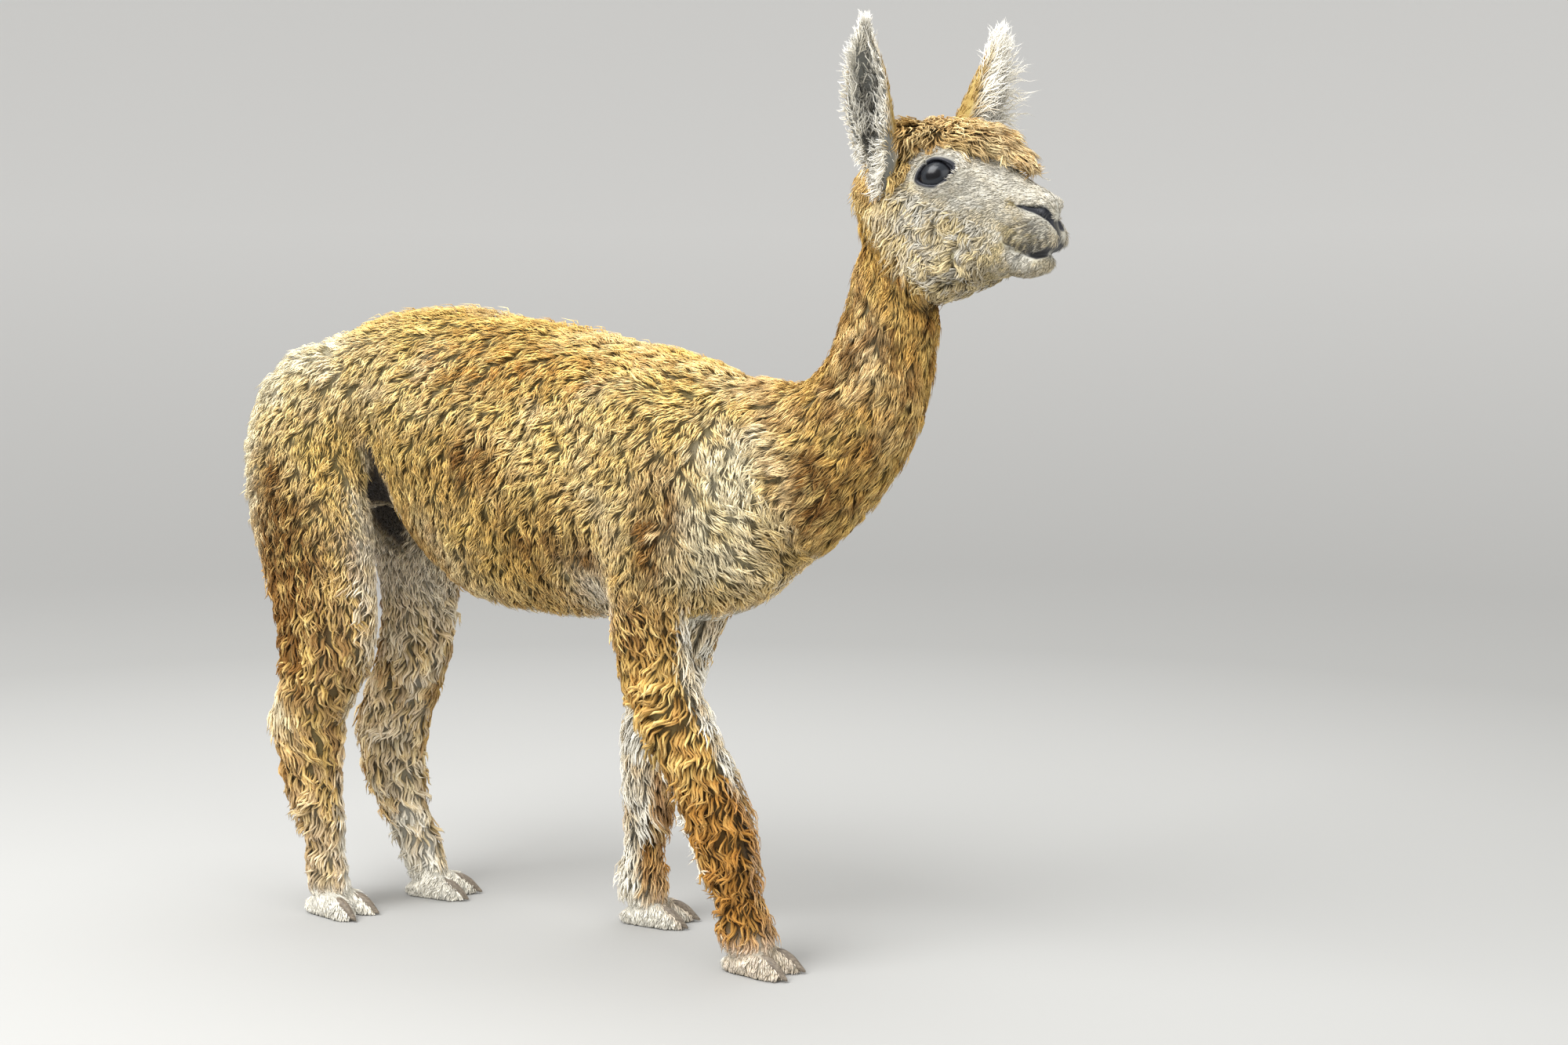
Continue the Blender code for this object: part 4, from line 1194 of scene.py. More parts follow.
def floor_finish():
    """Pale paint, a little lighter far out, where less of the lamps' light falls."""
    finish = Finish("Studio floor", 0.9, Specular_IOR_Level=0.2)
    place = finish.node("ShaderNodeTexCoord").outputs["Object"]
    radius = finish.node("ShaderNodeVectorMath", {"operation": "LENGTH"}, {0: place}).outputs["Value"]
    far = finish.value(radius).between(3.0, 11.0)
    finish.colour(finish.blend((0.40, 0.40, 0.39, 1), (0.86, 0.86, 0.85, 1), far))
    return finish.material


# Wools and hairs: their white and the share of it that is used, root shade, roughness and level
WOOLS = {
    "Fleece": ("pale", 1.00, 0.08, 0.85, 1.00),
    "Leg wool": ("pale", 1.00, 0.14, 0.85, 1.00),
    "Topknot wool": ("pale", 1.00, 0.12, 0.85, 0.83),
    "Face hair": ("face", 1.00, 0.15, 0.75, 0.66),
    "Cheek wool": ("face", 0.76, 0.10, 0.80, 0.68),
    "Ear hair": ("pale", 1.00, 0.45, 0.75, 0.62),
}


def wool(name):
    """The finish of that name in WOOLS, made the first time it is wanted."""
    white, share, *shading = WOOLS[name]
    white = [share * part for part in getattr(own_colours(), white)]
    return bpy.data.materials.get(name) or fleece_finish(name, white, *shading)


# ---------------------------------------------------------------- skin
def grid_triangles(rows, columns):
    """Triangles between neighbours on a grid, whose last column joins the first."""
    i, j = np.meshgrid(np.arange(rows - 1), np.arange(columns), indexing="ij")
    k = (j + 1) % columns
    a, b, c, d = (i * columns + j, i * columns + k, (i + 1) * columns + k, (i + 1) * columns + j)
    return np.concatenate([np.stack([a, b, c], -1), np.stack([a, c, d], -1)], 2).reshape(-1, 3)


def capped_tube(grid):
    """A grid of rings closed at both ends by a fan to the middle of the end ring."""
    rows, columns = grid.shape[:2]
    points = np.vstack([grid.reshape(-1, 3), grid[0].mean(0), grid[-1].mean(0)])
    j = np.arange(columns)
    k = (j + 1) % columns
    start = rows * columns
    last = start - columns
    fans = [np.stack([k, j, 0 * j + start], 1), np.stack([last + j, last + k, 0 * j + start + 1], 1)]
    faces = np.vstack([grid_triangles(rows, columns), *fans])
    if enclosed_volume(points - points.mean(0), faces) < 0:
        faces = faces[:, ::-1]
    return points, faces


def ear_frame(name):
    base, tip, opening = (np.array(v) for v in EARS[name][:3])
    axis = unit(tip - base)
    front = unit(opening - axis * (opening @ axis))
    return base, tip, axis, front, np.cross(axis, front)


def ear_sheet(name, u, v, lift):
    """Point of the ear at u from base to tip and v from edge (-1) over the middle of the back to edge (1).

    The section is an arc about the ear's own line: a near tube at the base that opens and flattens to
    the tip. Lift is the distance out from the middle of the wall. The line bows and the tip curls in."""
    base, tip, axis, front, side = ear_frame(name)
    length = np.linalg.norm(tip - base)
    low = np.sin(math.pi / 2 * clipped((u - EAR_START + 0.02) / (0.40 - EAR_START))) ** 0.75
    wide = low * np.cos(math.pi / 2 * (np.clip(u, 0.38, 1) - 0.38) / 0.64)
    half_angle = np.radians(118 - 62 * u)
    radius = EAR_WIDTH * wide / np.sin(np.minimum(half_angle, math.pi / 2))
    a = half_angle * v + EAR_TWIST[name] * (1 - clipped(u))
    out = side * np.sin(a)[..., None] - front * np.cos(a)[..., None]
    ripple = 0.0012 * np.sin(9 * u + 3 * v) * clipped(u)
    along = clipped(u)
    bow = np.array((EARS[name][3], 0, 0)) * (4 * along * (1 - along))[..., None]
    middle = base + axis * (u * length)[..., None] + bow
    notch = EAR_NOTCH[name] * (np.clip(u, EAR_START, 0) / EAR_START) ** 2
    middle = middle + front * (-0.010 * np.sin(math.pi * along) + radius * 0.5 + notch)[..., None]
    return middle + out * (radius + lift + ripple)[..., None]


def ear_shell(name):
    """Closed shell of an ear in the animal's frame: round the back, over the edge and along the inside."""
    u, v = np.meshgrid(np.linspace(EAR_START, 1.0, 44), np.linspace(-1, 1, 22), indexing="ij")
    wall = 0.0042 * (1 - 0.45 * u) * np.clip((1 - np.abs(v)) / 0.10, 0.12, 1) ** 0.5
    outer, inner = ear_sheet(name, u, v, wall / 2), ear_sheet(name, u, v, -wall / 2)
    return capped_tube(from_head(np.concatenate([outer, inner[:, ::-1]], axis=1)))


def vertex_normals(points, faces):
    a, b, c = (points[faces[:, k]] for k in (0, 1, 2))
    across = np.cross(b - a, c - a)
    total = [np.bincount(faces.ravel(), np.repeat(across[:, k], 3), len(points)) for k in range(3)]
    return unit(np.stack(total, 1))


def near_eye(p, reach):
    return np.linalg.norm(left_side(to_head(p)) - EYE_CENTRE, axis=1) < reach


def near_lips(p, reach):
    q = left_side(to_head(p))
    x, y, z = q.T
    near = polyline_distance(q, NOSTRIL, (0,) * len(NOSTRIL)) < reach
    near |= mouth_distance(q, (0,) * len(MOUTH)) < reach
    return near | ((y < reach) & (x > 0.21) & (z > -0.03) & (z < 0.02))


def skin_of_body(step):
    """Triangles of the skin: even over the body, and split finer over face, feet, lids, nose and lips."""
    low, high = (np.array(v) - SHIFT for v in CAD_BOX)
    points, quads = polygonise(low - 3 * step, high + 3 * step, step)
    faces = np.vstack([quads[:, :3], quads[:, (0, 2, 3)]])
    points = settle(relaxed(settle(points, 2), faces, np.ones(len(points), bool), 1), 2)

    def head_and_feet(p):
        return (head_part(p) > 0.3) | (p[:, 2] < 0.08)

    def face(p):
        return (to_head(p)[:, 0] > 0.165) & (head_part(p) > 0.9) | near_eye(p, 0.047)

    def openings(p):
        return near_eye(p, 0.034) | near_lips(p, 0.010)

    def lids(p):
        edge, _, _, out = eye_opening(left_side(to_head(p)))
        return near_eye(p, 0.034) & (np.abs(edge) < 0.0045) & (out > 0)

    for wanted in (head_and_feet, face, openings, lids):
        points, faces = refined(points, faces, wanted(points))
        near = wanted(points)
        for _ in range(2):
            points = relaxed(points, faces, near, 1)
            points[near] = settle(points[near], 3)
    return points, faces


# ---------------------------------------------------------------- coat
def scrambled(cell, seed):
    """Four even random numbers for each whole-numbered cell, the same on every run."""
    code = (cell * np.array((73856093, 19349663, 83492791))).sum(-1) + seed * 2654435761
    out = []
    for _ in range(4):
        code = (code ^ (code >> 15)) * 2246822519 & 0xFFFFFFFF
        code = (code ^ (code >> 13)) * 3266489917 & 0xFFFFFFFF
        out.append(((code >> 7) & 0xFFFF) / 65536.0)
    return np.stack(out, -1)


def nearest_clump(points, size, seed):
    """The nearest of centres strewn one to a cell of that size, and that centre's four random numbers."""
    base = np.floor(points / size[:, None]).astype(np.int64)
    best = np.full(len(points), np.inf)
    centre, luck = np.zeros_like(points), np.zeros((len(points), 4))
    for step in np.ndindex(3, 3, 3):
        cell = base + np.array(step) - 1
        own = scrambled(cell, seed)
        spot = (cell + own[:, :3]) * size[:, None]
        gap = ((points - spot) ** 2).sum(1)
        nearer = gap < best
        best = np.where(nearer, gap, best)
        centre[nearer], luck[nearer] = spot[nearer], own[nearer]
    return centre, luck


def strewn(points, faces, weight, count, seed):
    """Roots spread over triangles in proportion to area times weight: places and normals."""
    rng = np.random.default_rng(seed)
    a, b, c = (points[faces[:, k]] for k in (0, 1, 2))
    area = np.linalg.norm(np.cross(b - a, c - a), axis=1) * weight
    reach = np.cumsum(area)
    pick = np.searchsorted(reach, (np.arange(count) + rng.random(count)) / count * reach[-1])
    pick = np.minimum(pick, len(faces) - 1)
    u, v = rng.random((2, count))
    over = u + v > 1
    u, v = np.where(over, 1 - u, u), np.where(over, 1 - v, v)
    share = np.stack([1 - u - v, u, v], 1)
    normals = vertex_normals(points, faces)[faces[pick]]
    place = (points[faces[pick]] * share[..., None]).sum(1)
    return place, unit((normals * share[..., None]).sum(1))


class Style:
    """How the coat grows. Each field is an array with one value for each root: the length and width of a
    tuft; lift, the degrees that it starts above the skin; wave and crimp, how far it swings to the side and
    the length of a wave; clump and pull, the size of the clumps that the tips draw into and the share of the
    way to a clump's middle; stray, the degrees by which clumps turn from the coat's lie; and droop, the share
    of its height that the tip sinks back to the skin."""

    USUAL = dict(length=0.03, width=0.0026, lift=26.0, wave=0.0015, clump=0.016, pull=0.5, stray=14.0,
                 crimp=0.030, droop=0.35)

    def __init__(self, count, **own):
        for key, value in (self.USUAL | own).items():
            setattr(self, key, np.full(count, value))

    def shift(self, share, **wanted):
        """Moves the fields towards the wanted values by that share."""
        for key, value in wanted.items():
            setattr(self, key, mix(getattr(self, key), value, share))
        return self


CRIMP_WAY = np.array((-0.25, 0, -1))  # the way in which waves run through the coat


def offset(way, amount):
    """That much of each way, shaped so that it can be given to every stop of a line."""
    return (way * amount[:, None])[:, None]


def lock_lines(place, normal, lie, style, rings, rng, seed):
    """Middle lines of the tufts, the side and up directions of each, and the random numbers of its clump.

    At t from root to tip the line is: root + lie * length * cos(lift) * t + normal * length * sin(lift) *
    (2t - t squared) * (1 - droop * t squared) + the way to the clump's middle * pull * t squared + side *
    wave * (sine of the way run down the coat, so that neighbours crimp together) * root of t."""
    count = len(place)
    centre, luck = nearest_clump(place, style.clump, seed)
    turn = np.radians(style.stray) * (luck[:, 0] * 2 - 1) * 1.6
    turn = turn + np.radians(style.stray * 0.36) * rng.normal(size=count)
    side = unit(np.cross(normal, lie))
    lie = lie * np.cos(turn)[:, None] + side * np.sin(turn)[:, None]
    side = unit(np.cross(normal, lie))
    length = style.length * (0.82 + 0.36 * luck[:, 1]) * rng.uniform(0.78, 1.18, count)
    lift = np.radians(np.clip(style.lift * (0.75 + 0.5 * luck[:, 2]) + rng.normal(0, 3, count), 2, 88))
    inward = centre - place
    inward = inward - normal * (inward * normal).sum(1)[:, None]
    inward = inward - lie * (inward * lie).sum(1)[:, None] * 0.6
    t = np.linspace(0, 1, rings + 2)[None, :, None]
    phase = place @ CRIMP_WAY + luck[:, 3] * style.crimp * 0.7 + rng.normal(0, 0.0012, count)
    run = (phase * 2 * math.pi / style.crimp)[:, None, None]
    turn_of = run + (length * 2 * math.pi / style.crimp)[:, None, None] * t
    swing = np.sin(turn_of) - np.sin(run)
    rise = (2 * t - t * t) * (1 - style.droop[:, None, None] * t * t)
    line = place[:, None] - offset(normal, np.minimum(0.0015, 0.3 * length * np.sin(lift)))
    line = line + offset(lie, length * np.cos(lift)) * t
    line = line + offset(normal, length * np.sin(lift)) * rise
    line = line + offset(inward, style.pull) * t * t
    line = line + offset(side, style.wave) * swing * t**0.5
    line = line + offset(normal, style.wave) * 0.35 * np.cos(turn_of) * t
    up = unit(normal * np.cos(lift)[:, None] - lie * np.sin(lift)[:, None])
    return line, side, up, luck


def tuft_mesh(line, side, up, width, rng):
    """Closed spindles round the lines: a point at the root, rings of three corners and a point at the tip.

    The half width at t is width / 2 * (sine of pi * t to the 0.8) to the 0.65, and 0.6 of it upwards."""
    count, stops = line.shape[:2]
    rings = stops - 2
    t = np.linspace(0, 1, stops)[1:-1]
    swell = np.sin(math.pi * t**0.8) ** 0.65
    angle = rng.uniform(0, 2 * math.pi, count)[:, None] + np.arange(3) * 2 * math.pi / 3
    across = np.cos(angle)[..., None] * side[:, None] + 0.6 * np.sin(angle)[..., None] * up[:, None]
    ring = line[:, 1:-1, None] + across[:, None] * (width[:, None] / 2 * swell)[..., None, None]
    points = np.concatenate([line[:, :1], ring.reshape(count, rings * 3, 3), line[:, -1:]], axis=1)
    j = np.arange(3)
    k = (j + 1) % 3
    tip = np.full(3, 1 + 3 * rings)
    faces = [np.stack([np.zeros(3, int), 1 + k, 1 + j], 1)]
    places = [np.stack([j + 0.5, j + 1.0, j + 0.0], 1)]
    for i in range(rings - 1):
        a, b = 1 + 3 * i, 4 + 3 * i
        faces += [np.stack([a + j, a + k, b + k], 1), np.stack([a + j, b + k, b + j], 1)]
        places += [np.stack([j, j + 1, j + 1], 1), np.stack([j, j + 1, j], 1)]
    last = 3 * rings - 2
    faces.append(np.stack([last + j, last + k, tip], 1))
    places.append(np.stack([j, j + 1, j + 0.5], 1))
    faces, places = np.vstack(faces), np.vstack(places) / 3
    t_all = np.concatenate([[0], np.repeat(t, 3), [1]])
    corner = np.stack([places, t_all[faces]], -1).reshape(-1, 2)
    all_faces = (faces[None] + (np.arange(count) * points.shape[1])[:, None, None]).reshape(-1, 3)
    return points.reshape(-1, 3), all_faces, corner, t_all


PATCH = 0.003  # side of a tuft's patch on the bake map
MARGIN = 0.004  # empty edge of the map, wider than a patch
LOWEST = 0.0012  # height above the floor at which the tufts of the feet end


def unwrap(p, chart):
    """Metres along and round the axis of that part of the body: the skin opened out flat along a line."""
    x, y, z = p.T
    if chart == "trunk":
        return np.stack([x, 0.16 * np.arctan2(y, z - 0.68)], 1)
    if chart == "neck":
        along = (x - 0.3) * 0.5 + z
        return np.stack([along, 0.08 * np.arctan2(y, (x - 0.46) * 0.8 - (z - 0.82) * 0.45)], 1)
    if chart == "head":
        q = to_head(p)
        return np.stack([q[:, 0], 0.06 * np.arctan2(q[:, 1], q[:, 2] - 0.02)], 1)
    if chart == "tail":
        return np.stack([z, 0.03 * np.arctan2(y, x + 0.552)], 1)
    middle = leg_centre(chart, z)
    return np.stack([z, 0.05 * np.arctan2(y - middle[:, 1], middle[:, 0] - x)], 1)


def spread_square(chart):
    """Fits the opened skin into the unit square, with a margin for the patch of a tuft."""
    low, high = chart.min(0), chart.max(0)
    return MARGIN + (1 - 2 * MARGIN) * (chart - low) / (high - low)


def grow(name, place, normal, lie, style, rings, chart, marks, dark_hair_and_shade, material, seed):
    """A coat piece: tufts at the roots, with their markings, shades and places on the bake map."""
    rng = np.random.default_rng(seed)
    lie = unit(lie - normal * (lie * normal).sum(1)[:, None])
    line, side, up, luck = lock_lines(place, normal, lie, style, rings, rng, seed)
    height = line[..., 2]
    line[..., 2] = np.where(height < LOWEST, LOWEST + 0.1 * (LOWEST - height).clip(0, 0.01), height)
    width = style.width * rng.uniform(0.75, 1.25, len(place))
    points, faces, corner, t = tuft_mesh(line, side, up, width, rng)
    piece = new_object(name, points, faces, material)
    each = len(t)
    set_attribute(piece, "coat", np.repeat(marks, each, axis=0))
    ridges = rng.random((len(place), 3)) * 0.6 + rng.random((len(place), 1)) * 0.4
    ends = ridges.mean(1, keepdims=True)
    vary = np.hstack([ends] + [ridges] * rings + [ends]).ravel()
    strand = np.stack([np.tile(t, len(place)), vary, np.repeat(luck[:, 2], each), np.repeat(dark_hair_and_shade, each)], 1)
    set_attribute(piece, "strand", strand)
    square = spread_square(chart) - PATCH / 2
    corners = square[:, None] + PATCH * corner[None]
    piece.data.uv_layers.new(name="OFBake").data.foreach_set("uv", corners.astype(np.float32).ravel())
    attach(piece, "root")


def skin_part(part):
    """Points of the skin in the animal's frame, its triangles on that part of the body and their middles."""
    skin = bpy.data.objects.get("skin")
    if skin is None:
        raise RuntimeError("The coat grows on the skin, so the skin has to be made first")
    mesh = skin.data
    points, finish = (np.empty((len(mesh.vertices), size), np.float32) for size in (3, 4))
    faces = np.empty((len(mesh.polygons), 3), np.int32)
    mesh.vertices.foreach_get("co", points.ravel())
    mesh.attributes["finish"].data.foreach_get("color", finish.ravel())
    mesh.loops.foreach_get("vertex_index", faces.ravel())
    points = points - SHIFT
    faces = faces[finish[faces[:, 0], 3] < 0.5]
    middle = points[faces].mean(1)
    mine = body_part(middle) == PARTS.index(part)
    return points, faces[mine], middle[mine]


def dress(name, part, place, normal, lie, style, rings, dark_hair_and_shade, finish, seed):
    """A coat piece on that part of the body, marked as the animal is there."""
    grow(name, place, normal, lie, style, rings, unwrap(place, part), markings(place, normal), dark_hair_and_shade,
         wool(finish), seed)


def neck_down(p):
    """Direction down the neck's axis at the station nearest each point."""
    d = smooth_rows(NECK, 6)[:, :3]
    gap = ((p[:, None] - d[None]) ** 2).sum(-1)
    return -unit(np.gradient(d, axis=0))[np.argmin(gap, axis=1)]


def body_lie(p, n):
    """Lie of the coat: back along the spine, down and back over the sides, down the neck and the legs."""
    x, _, z = p.T
    back = np.array((-1.0, 0, -0.10))
    upper, lower, chest = (np.array((ahead, 0, -1.0)) for ahead in (-0.75, -0.16, 0.45))
    side = mix(lower, upper, ramp(z, 0.62, 0.80)[:, None])
    side = mix(side, chest, (ramp(x, 0.20, 0.29) * (1 - neck_part(p)))[:, None])
    thigh = np.array((-0.22, 0, -0.95))
    leg = np.array((-0.12, 0, -1.0))
    tail = np.array((-0.2, 0, -1.0))
    lie = mix(side, back, ramp(n[:, 2], 0.45, 0.95)[:, None])
    lie = mix(lie, back, ramp(-n[:, 2], 0.70, 0.98)[:, None])
    rear = ramp(-x, 0.30, 0.42)[:, None]
    lie = mix(lie, thigh, rear * ramp(0.85 - z, 0, 0.1)[:, None])
    lie = mix(lie, neck_down(p), neck_part(p)[:, None])
    lie = mix(lie, leg, (leg_part(p) * (1 - head_part(p)) * (z < 0.7))[:, None])
    lie = mix(lie, tail, tail_part(p)[:, None])
    drift = 0.45 * waves(p, 0.22, 21) + 0.30 * waves(p, 0.07, 22)
    across = np.cross(n, lie)
    return lie + across * np.tan(np.clip(drift * 0.6, -0.7, 0.7))[:, None]


def body_style(p, n):
    """Shorn fleece over body and neck, wavy wool on the lower legs, short hair on feet and under the body."""
    x, _, z = p.T
    legs, neck, foot, short = leg_part(p) * (z < 0.7), neck_part(p), foot_part(p), short_part(p, n)
    s = alpaca_sizes()
    style = Style(len(p), length=s.fleece_length, width=s.fleece_width, lift=22.0, wave=0.0018, clump=0.0145,
                  pull=0.74, stray=18.0)
    crest = ramp(n[:, 2], 0.80, 0.97) * ramp(x, -0.42, -0.30) * fall(x, 0.02, 0.12)
    crest = crest * clipped(0.5 + waves(p, 0.09, 25))
    style.shift(crest, length=s.fleece_length * 1.3, lift=34.0, clump=0.016)
    style.shift(neck, length=s.fleece_length * 1.1, width=s.fleece_width * 0.95, lift=16.0, stray=12.0,
                wave=0.0024)
    low_leg = legs * fall(z, 0.42, 0.60)
    style.shift(low_leg, length=s.leg_lock_length, width=0.0050, lift=12.0, wave=0.0050, clump=0.020,
                pull=0.74, stray=15.0, crimp=0.040, droop=0.60)
    knee = low_leg * fore_quarters(p) * fall(z, 0.22, 0.31)
    style.shift(knee * (1 - foot), wave=0.0070, lift=15.0, clump=0.023, crimp=0.036, stray=22.0)
    style.shift(ramp(0.20 - z, 0, 0.12) * (1 - foot), length=s.leg_lock_length * 0.8, clump=0.016)
    style.shift(short * (1 - 0.5 * low_leg), length=0.020, width=0.0018, lift=18.0, wave=0.0008, clump=0.009)
    style.shift(gap_shadow(p), length=0.008, width=0.0014, lift=8.0)
    style.shift(low_leg * inner_strip(p, n) * fore_quarters(p), length=0.040, width=0.0030, wave=0.0020,
                lift=26.0, clump=0.014, stray=8.0)
    style.shift(foot, length=0.016, width=0.0017, lift=8.0, wave=0.0012, clump=0.009, pull=0.5, stray=10.0)
    style.shift(fall(z, 0.022, 0.036), length=0.012, lift=8.0, width=0.0017)
    return style


PARTS = ["trunk", "neck", *LEGS, "tail", "head"]


def body_part(p):
    """Index in PARTS of the part of the body that each point belongs to."""
    x, y, z = p.T
    hind = ~fore_quarters(p) & (z < 0.54)
    fore = fore_quarters(p) & (z < 0.47 + 0.05 * (x > 0.08)) & (np.abs(y) > 0.035)
    part = np.where(hind | fore, PARTS.index(next(iter(LEGS))) + leg_name(p), PARTS.index("trunk"))
    part = np.where(tail_part(p) > 0.5, PARTS.index("tail"), part)
    part = np.where(neck_part(p) > 0.5, PARTS.index("neck"), part)
    return np.where(head_part(p) > 0.5, PARTS.index("head"), part)


def body_coat(name, part, count, rings, seed, among=None):
    """A coat piece on one part of the body. Among picks some of its triangles by their middles."""
    points, faces, middle = skin_part(part)
    if among is not None:
        faces = faces[among(middle)]
    facing = unit(vertex_normals(points, faces)[faces].mean(1))
    style = body_style(points[faces].mean(1), facing)
    place, normal = strewn(points, faces, 1 / (style.length * style.width), count, seed)
    # Tufts in the flank gap are darkened: painted shadow.
    dress(name, part, place, normal, body_lie(place, normal), body_style(place, normal), rings,
          0.9 * gap_shadow(place), "Leg wool" if part in LEGS else "Fleece", seed)


def directions(x, y, z):
    """One direction for each root, from numbers that all share and arrays."""
    return np.stack(np.broadcast_arrays(x, y, z), 1)


def turned_head(v):
    """Directions in the head's frame as they are in the animal's."""
    return from_head(v) - HEAD_PIVOT


def head_lie(q):
    """Lie of the hair on the head, in its own frame: up the bridge from the nose, fanning back and down
    over the upper lip, back over the cheeks and down the throat, and under the ears to the neck."""
    f, l, u = q.T
    side = np.sign(l)
    bridge = directions(-1.0, 0.35 * side, 0.05)
    cheek = directions(-0.50, 0.10 * side, -0.85)
    lip = directions(-1.0, 0.3 * side, -0.15 - 30.0 * (0.002 - u).clip(-0.03, 0.04))
    chin = directions(-0.8, 0 * side, -0.45)
    lie = mix(cheek, bridge, ramp(u - 0.35 * (0.2 - f), -0.02, 0.03)[:, None])
    lie = mix(lie, lip, (ramp(f, 0.175, 0.195) * ramp(0.030 - u, 0, 0.01))[:, None])
    lie = mix(lie, chin, ramp(-u, 0.035, 0.06)[:, None])
    behind = directions(-0.35, 0.05 * side, -0.9)
    return mix(behind, lie, ramp(f, -0.02, 0.04)[:, None])


def head_style(q):
    """Very short on muzzle and brow; wavy wool on cheeks and jaw, and longer locks behind them."""
    f, _, u = q.T
    style = Style(len(q), length=0.0110, width=0.0014, lift=15.0, wave=0.0005, clump=0.008, pull=0.55,
                  stray=11.0)
    lip = ramp(f, 0.165, 0.185) * ramp(0.03 - u, 0, 0.01)
    style.shift(lip, length=0.0100, width=0.0010, lift=17.0, stray=5.0)
    woolly = cheek_part(q)
    style.shift(woolly, length=0.022, width=0.0028, lift=20.0, wave=0.0022, clump=0.014, pull=0.85,
                stray=30.0, crimp=0.028, droop=0.5)
    style.shift(woolly * ramp(-u, 0.030, 0.065), length=0.023, lift=27.0)
    style.shift(collar_part(q), length=0.034, width=0.0030, lift=18.0, wave=0.0034, clump=0.015, stray=14.0,
                crimp=0.032)
    return style


def knot_lie(q):
    """The topknot falls forward over the brow and outward to the sides from a parting on the crown."""
    f, l, _ = q.T
    ahead = mix(-0.25, 1.1, ramp(f, 0.02, 0.11))
    sink = -0.15 - 0.9 * ramp(np.abs(l), 0.02, 0.05) - 2.0 * (f - 0.10).clip(0, 0.1)
    forward = directions(ahead, 9.0 * l, sink)
    tip = directions(1.0, -5.0 * l, -0.55)
    rear = directions(-0.6, 16.0 * l, -0.6)
    lie = mix(rear, forward, ramp(f, -0.01, 0.05)[:, None])
    lie = mix(lie, tip, ramp(f, 0.12, 0.17)[:, None])
    return lie + 0.35 * directions(waves(q, 0.06, 31), waves(q, 0.05, 32), 0)


def knot_style(q):
    """Long curly locks on the crown, flatter in the point over the brow and short along the cap's edge."""
    f, _, u = q.T
    length = alpaca_sizes().topknot_length
    style = Style(len(q), length=length, width=0.0028, lift=20.0, wave=0.0044, clump=0.017, pull=0.70,
                  stray=20.0, crimp=0.028, droop=0.40)
    style.shift(ramp(f, 0.10, 0.16), length=length * 1.05, lift=10.0, width=0.0028, stray=10.0, wave=0.0030)
    edge = fall(u - knot_line(f), 0.004, 0.030)
    style.shift(edge, length=length * mix(0.40, 0.62, ramp(f, 0.085, 0.115)), lift=12.0, width=0.0026)
    style.shift(fall(f, -0.02, 0.03), length=length * 0.8, lift=20.0, width=0.0028)
    return style


def head_roots(weight_of, count, seed, wanted):
    """Roots on the wanted part of the head, and the same roots in the head's frame."""
    points, faces, middle = skin_part("head")
    q = to_head(middle)
    bald = (smoke_marks(middle) > 0.30) | (eye_opening(left_side(q))[0] < 0.003) & near_eye(middle, 0.034)
    grown = wanted(q) & ~bald
    place, normal = strewn(points, faces[grown], weight_of(q[grown]), count, seed)
    return place, normal, to_head(place)


def ear_roots(name, count, seed):
    """Roots on an ear: place, normal, u from base to tip, v from edge to edge and whether it is inside."""
    rng = np.random.default_rng(seed)
    u = EAR_START + 0.01 + (0.99 - EAR_START) * (1 - (1 - rng.random(count)) ** 0.94)
    v = rng.uniform(-1, 1, count)
    inside = rng.random(count) < 0.60
    edge = rng.random(count) < 0.42
    v = np.where(edge, np.sign(v) * (1 - 0.16 * rng.random(count)), v)
    lift = np.where(inside, -1, 1) * 0.0021 * (1 - 0.45 * u)
    step = 0.01
    here = ear_sheet(name, u, v, lift)
    along = unit(ear_sheet(name, u + step, v, lift) - here)
    over = unit(ear_sheet(name, u, np.clip(v + step, -1.02, 1.02), lift) - here)
    out = unit(ear_sheet(name, u, v, lift + 0.001) - here)
    normal = out * np.where(inside, -1, 1)[:, None]
    return here, normal, along, over, u, v, inside


# ---------------------------------------------------------------- what a user may change
# Camera: its place in the animal's frame, and the bearing and the pitch of its view
CAMERA_PLACE = np.array((1.57822, -2.62222, 0.86))
CAMERA_BEARING = math.atan2(0.9026, -0.4305)
CAMERA_PITCH = math.radians(4.9006)


def alpaca_sizes():
    return bpy.context.scene.alpaca_sizes


def colour_property(name, default, description):
    return bpy.props.FloatVectorProperty(name=name, description=description, default=default, size=3,
                                         min=0, max=1, subtype="COLOR")


def length_property(name, default, description):
    return bpy.props.FloatProperty(name=name, description=description, default=default, min=0, precision=4,
                                   subtype="DISTANCE", unit="LENGTH")


def count_property(name, default, description):
    return bpy.props.IntProperty(name=name, description=description, default=default, min=4)


def angle_property(name, default, description):
    return bpy.props.FloatProperty(name=name, description=description, default=default, subtype="ANGLE",
                                   unit="ROTATION")


def power_property(name, default, description):
    return bpy.props.FloatProperty(name=name, description=description, default=default, min=0,
                                   subtype="POWER")


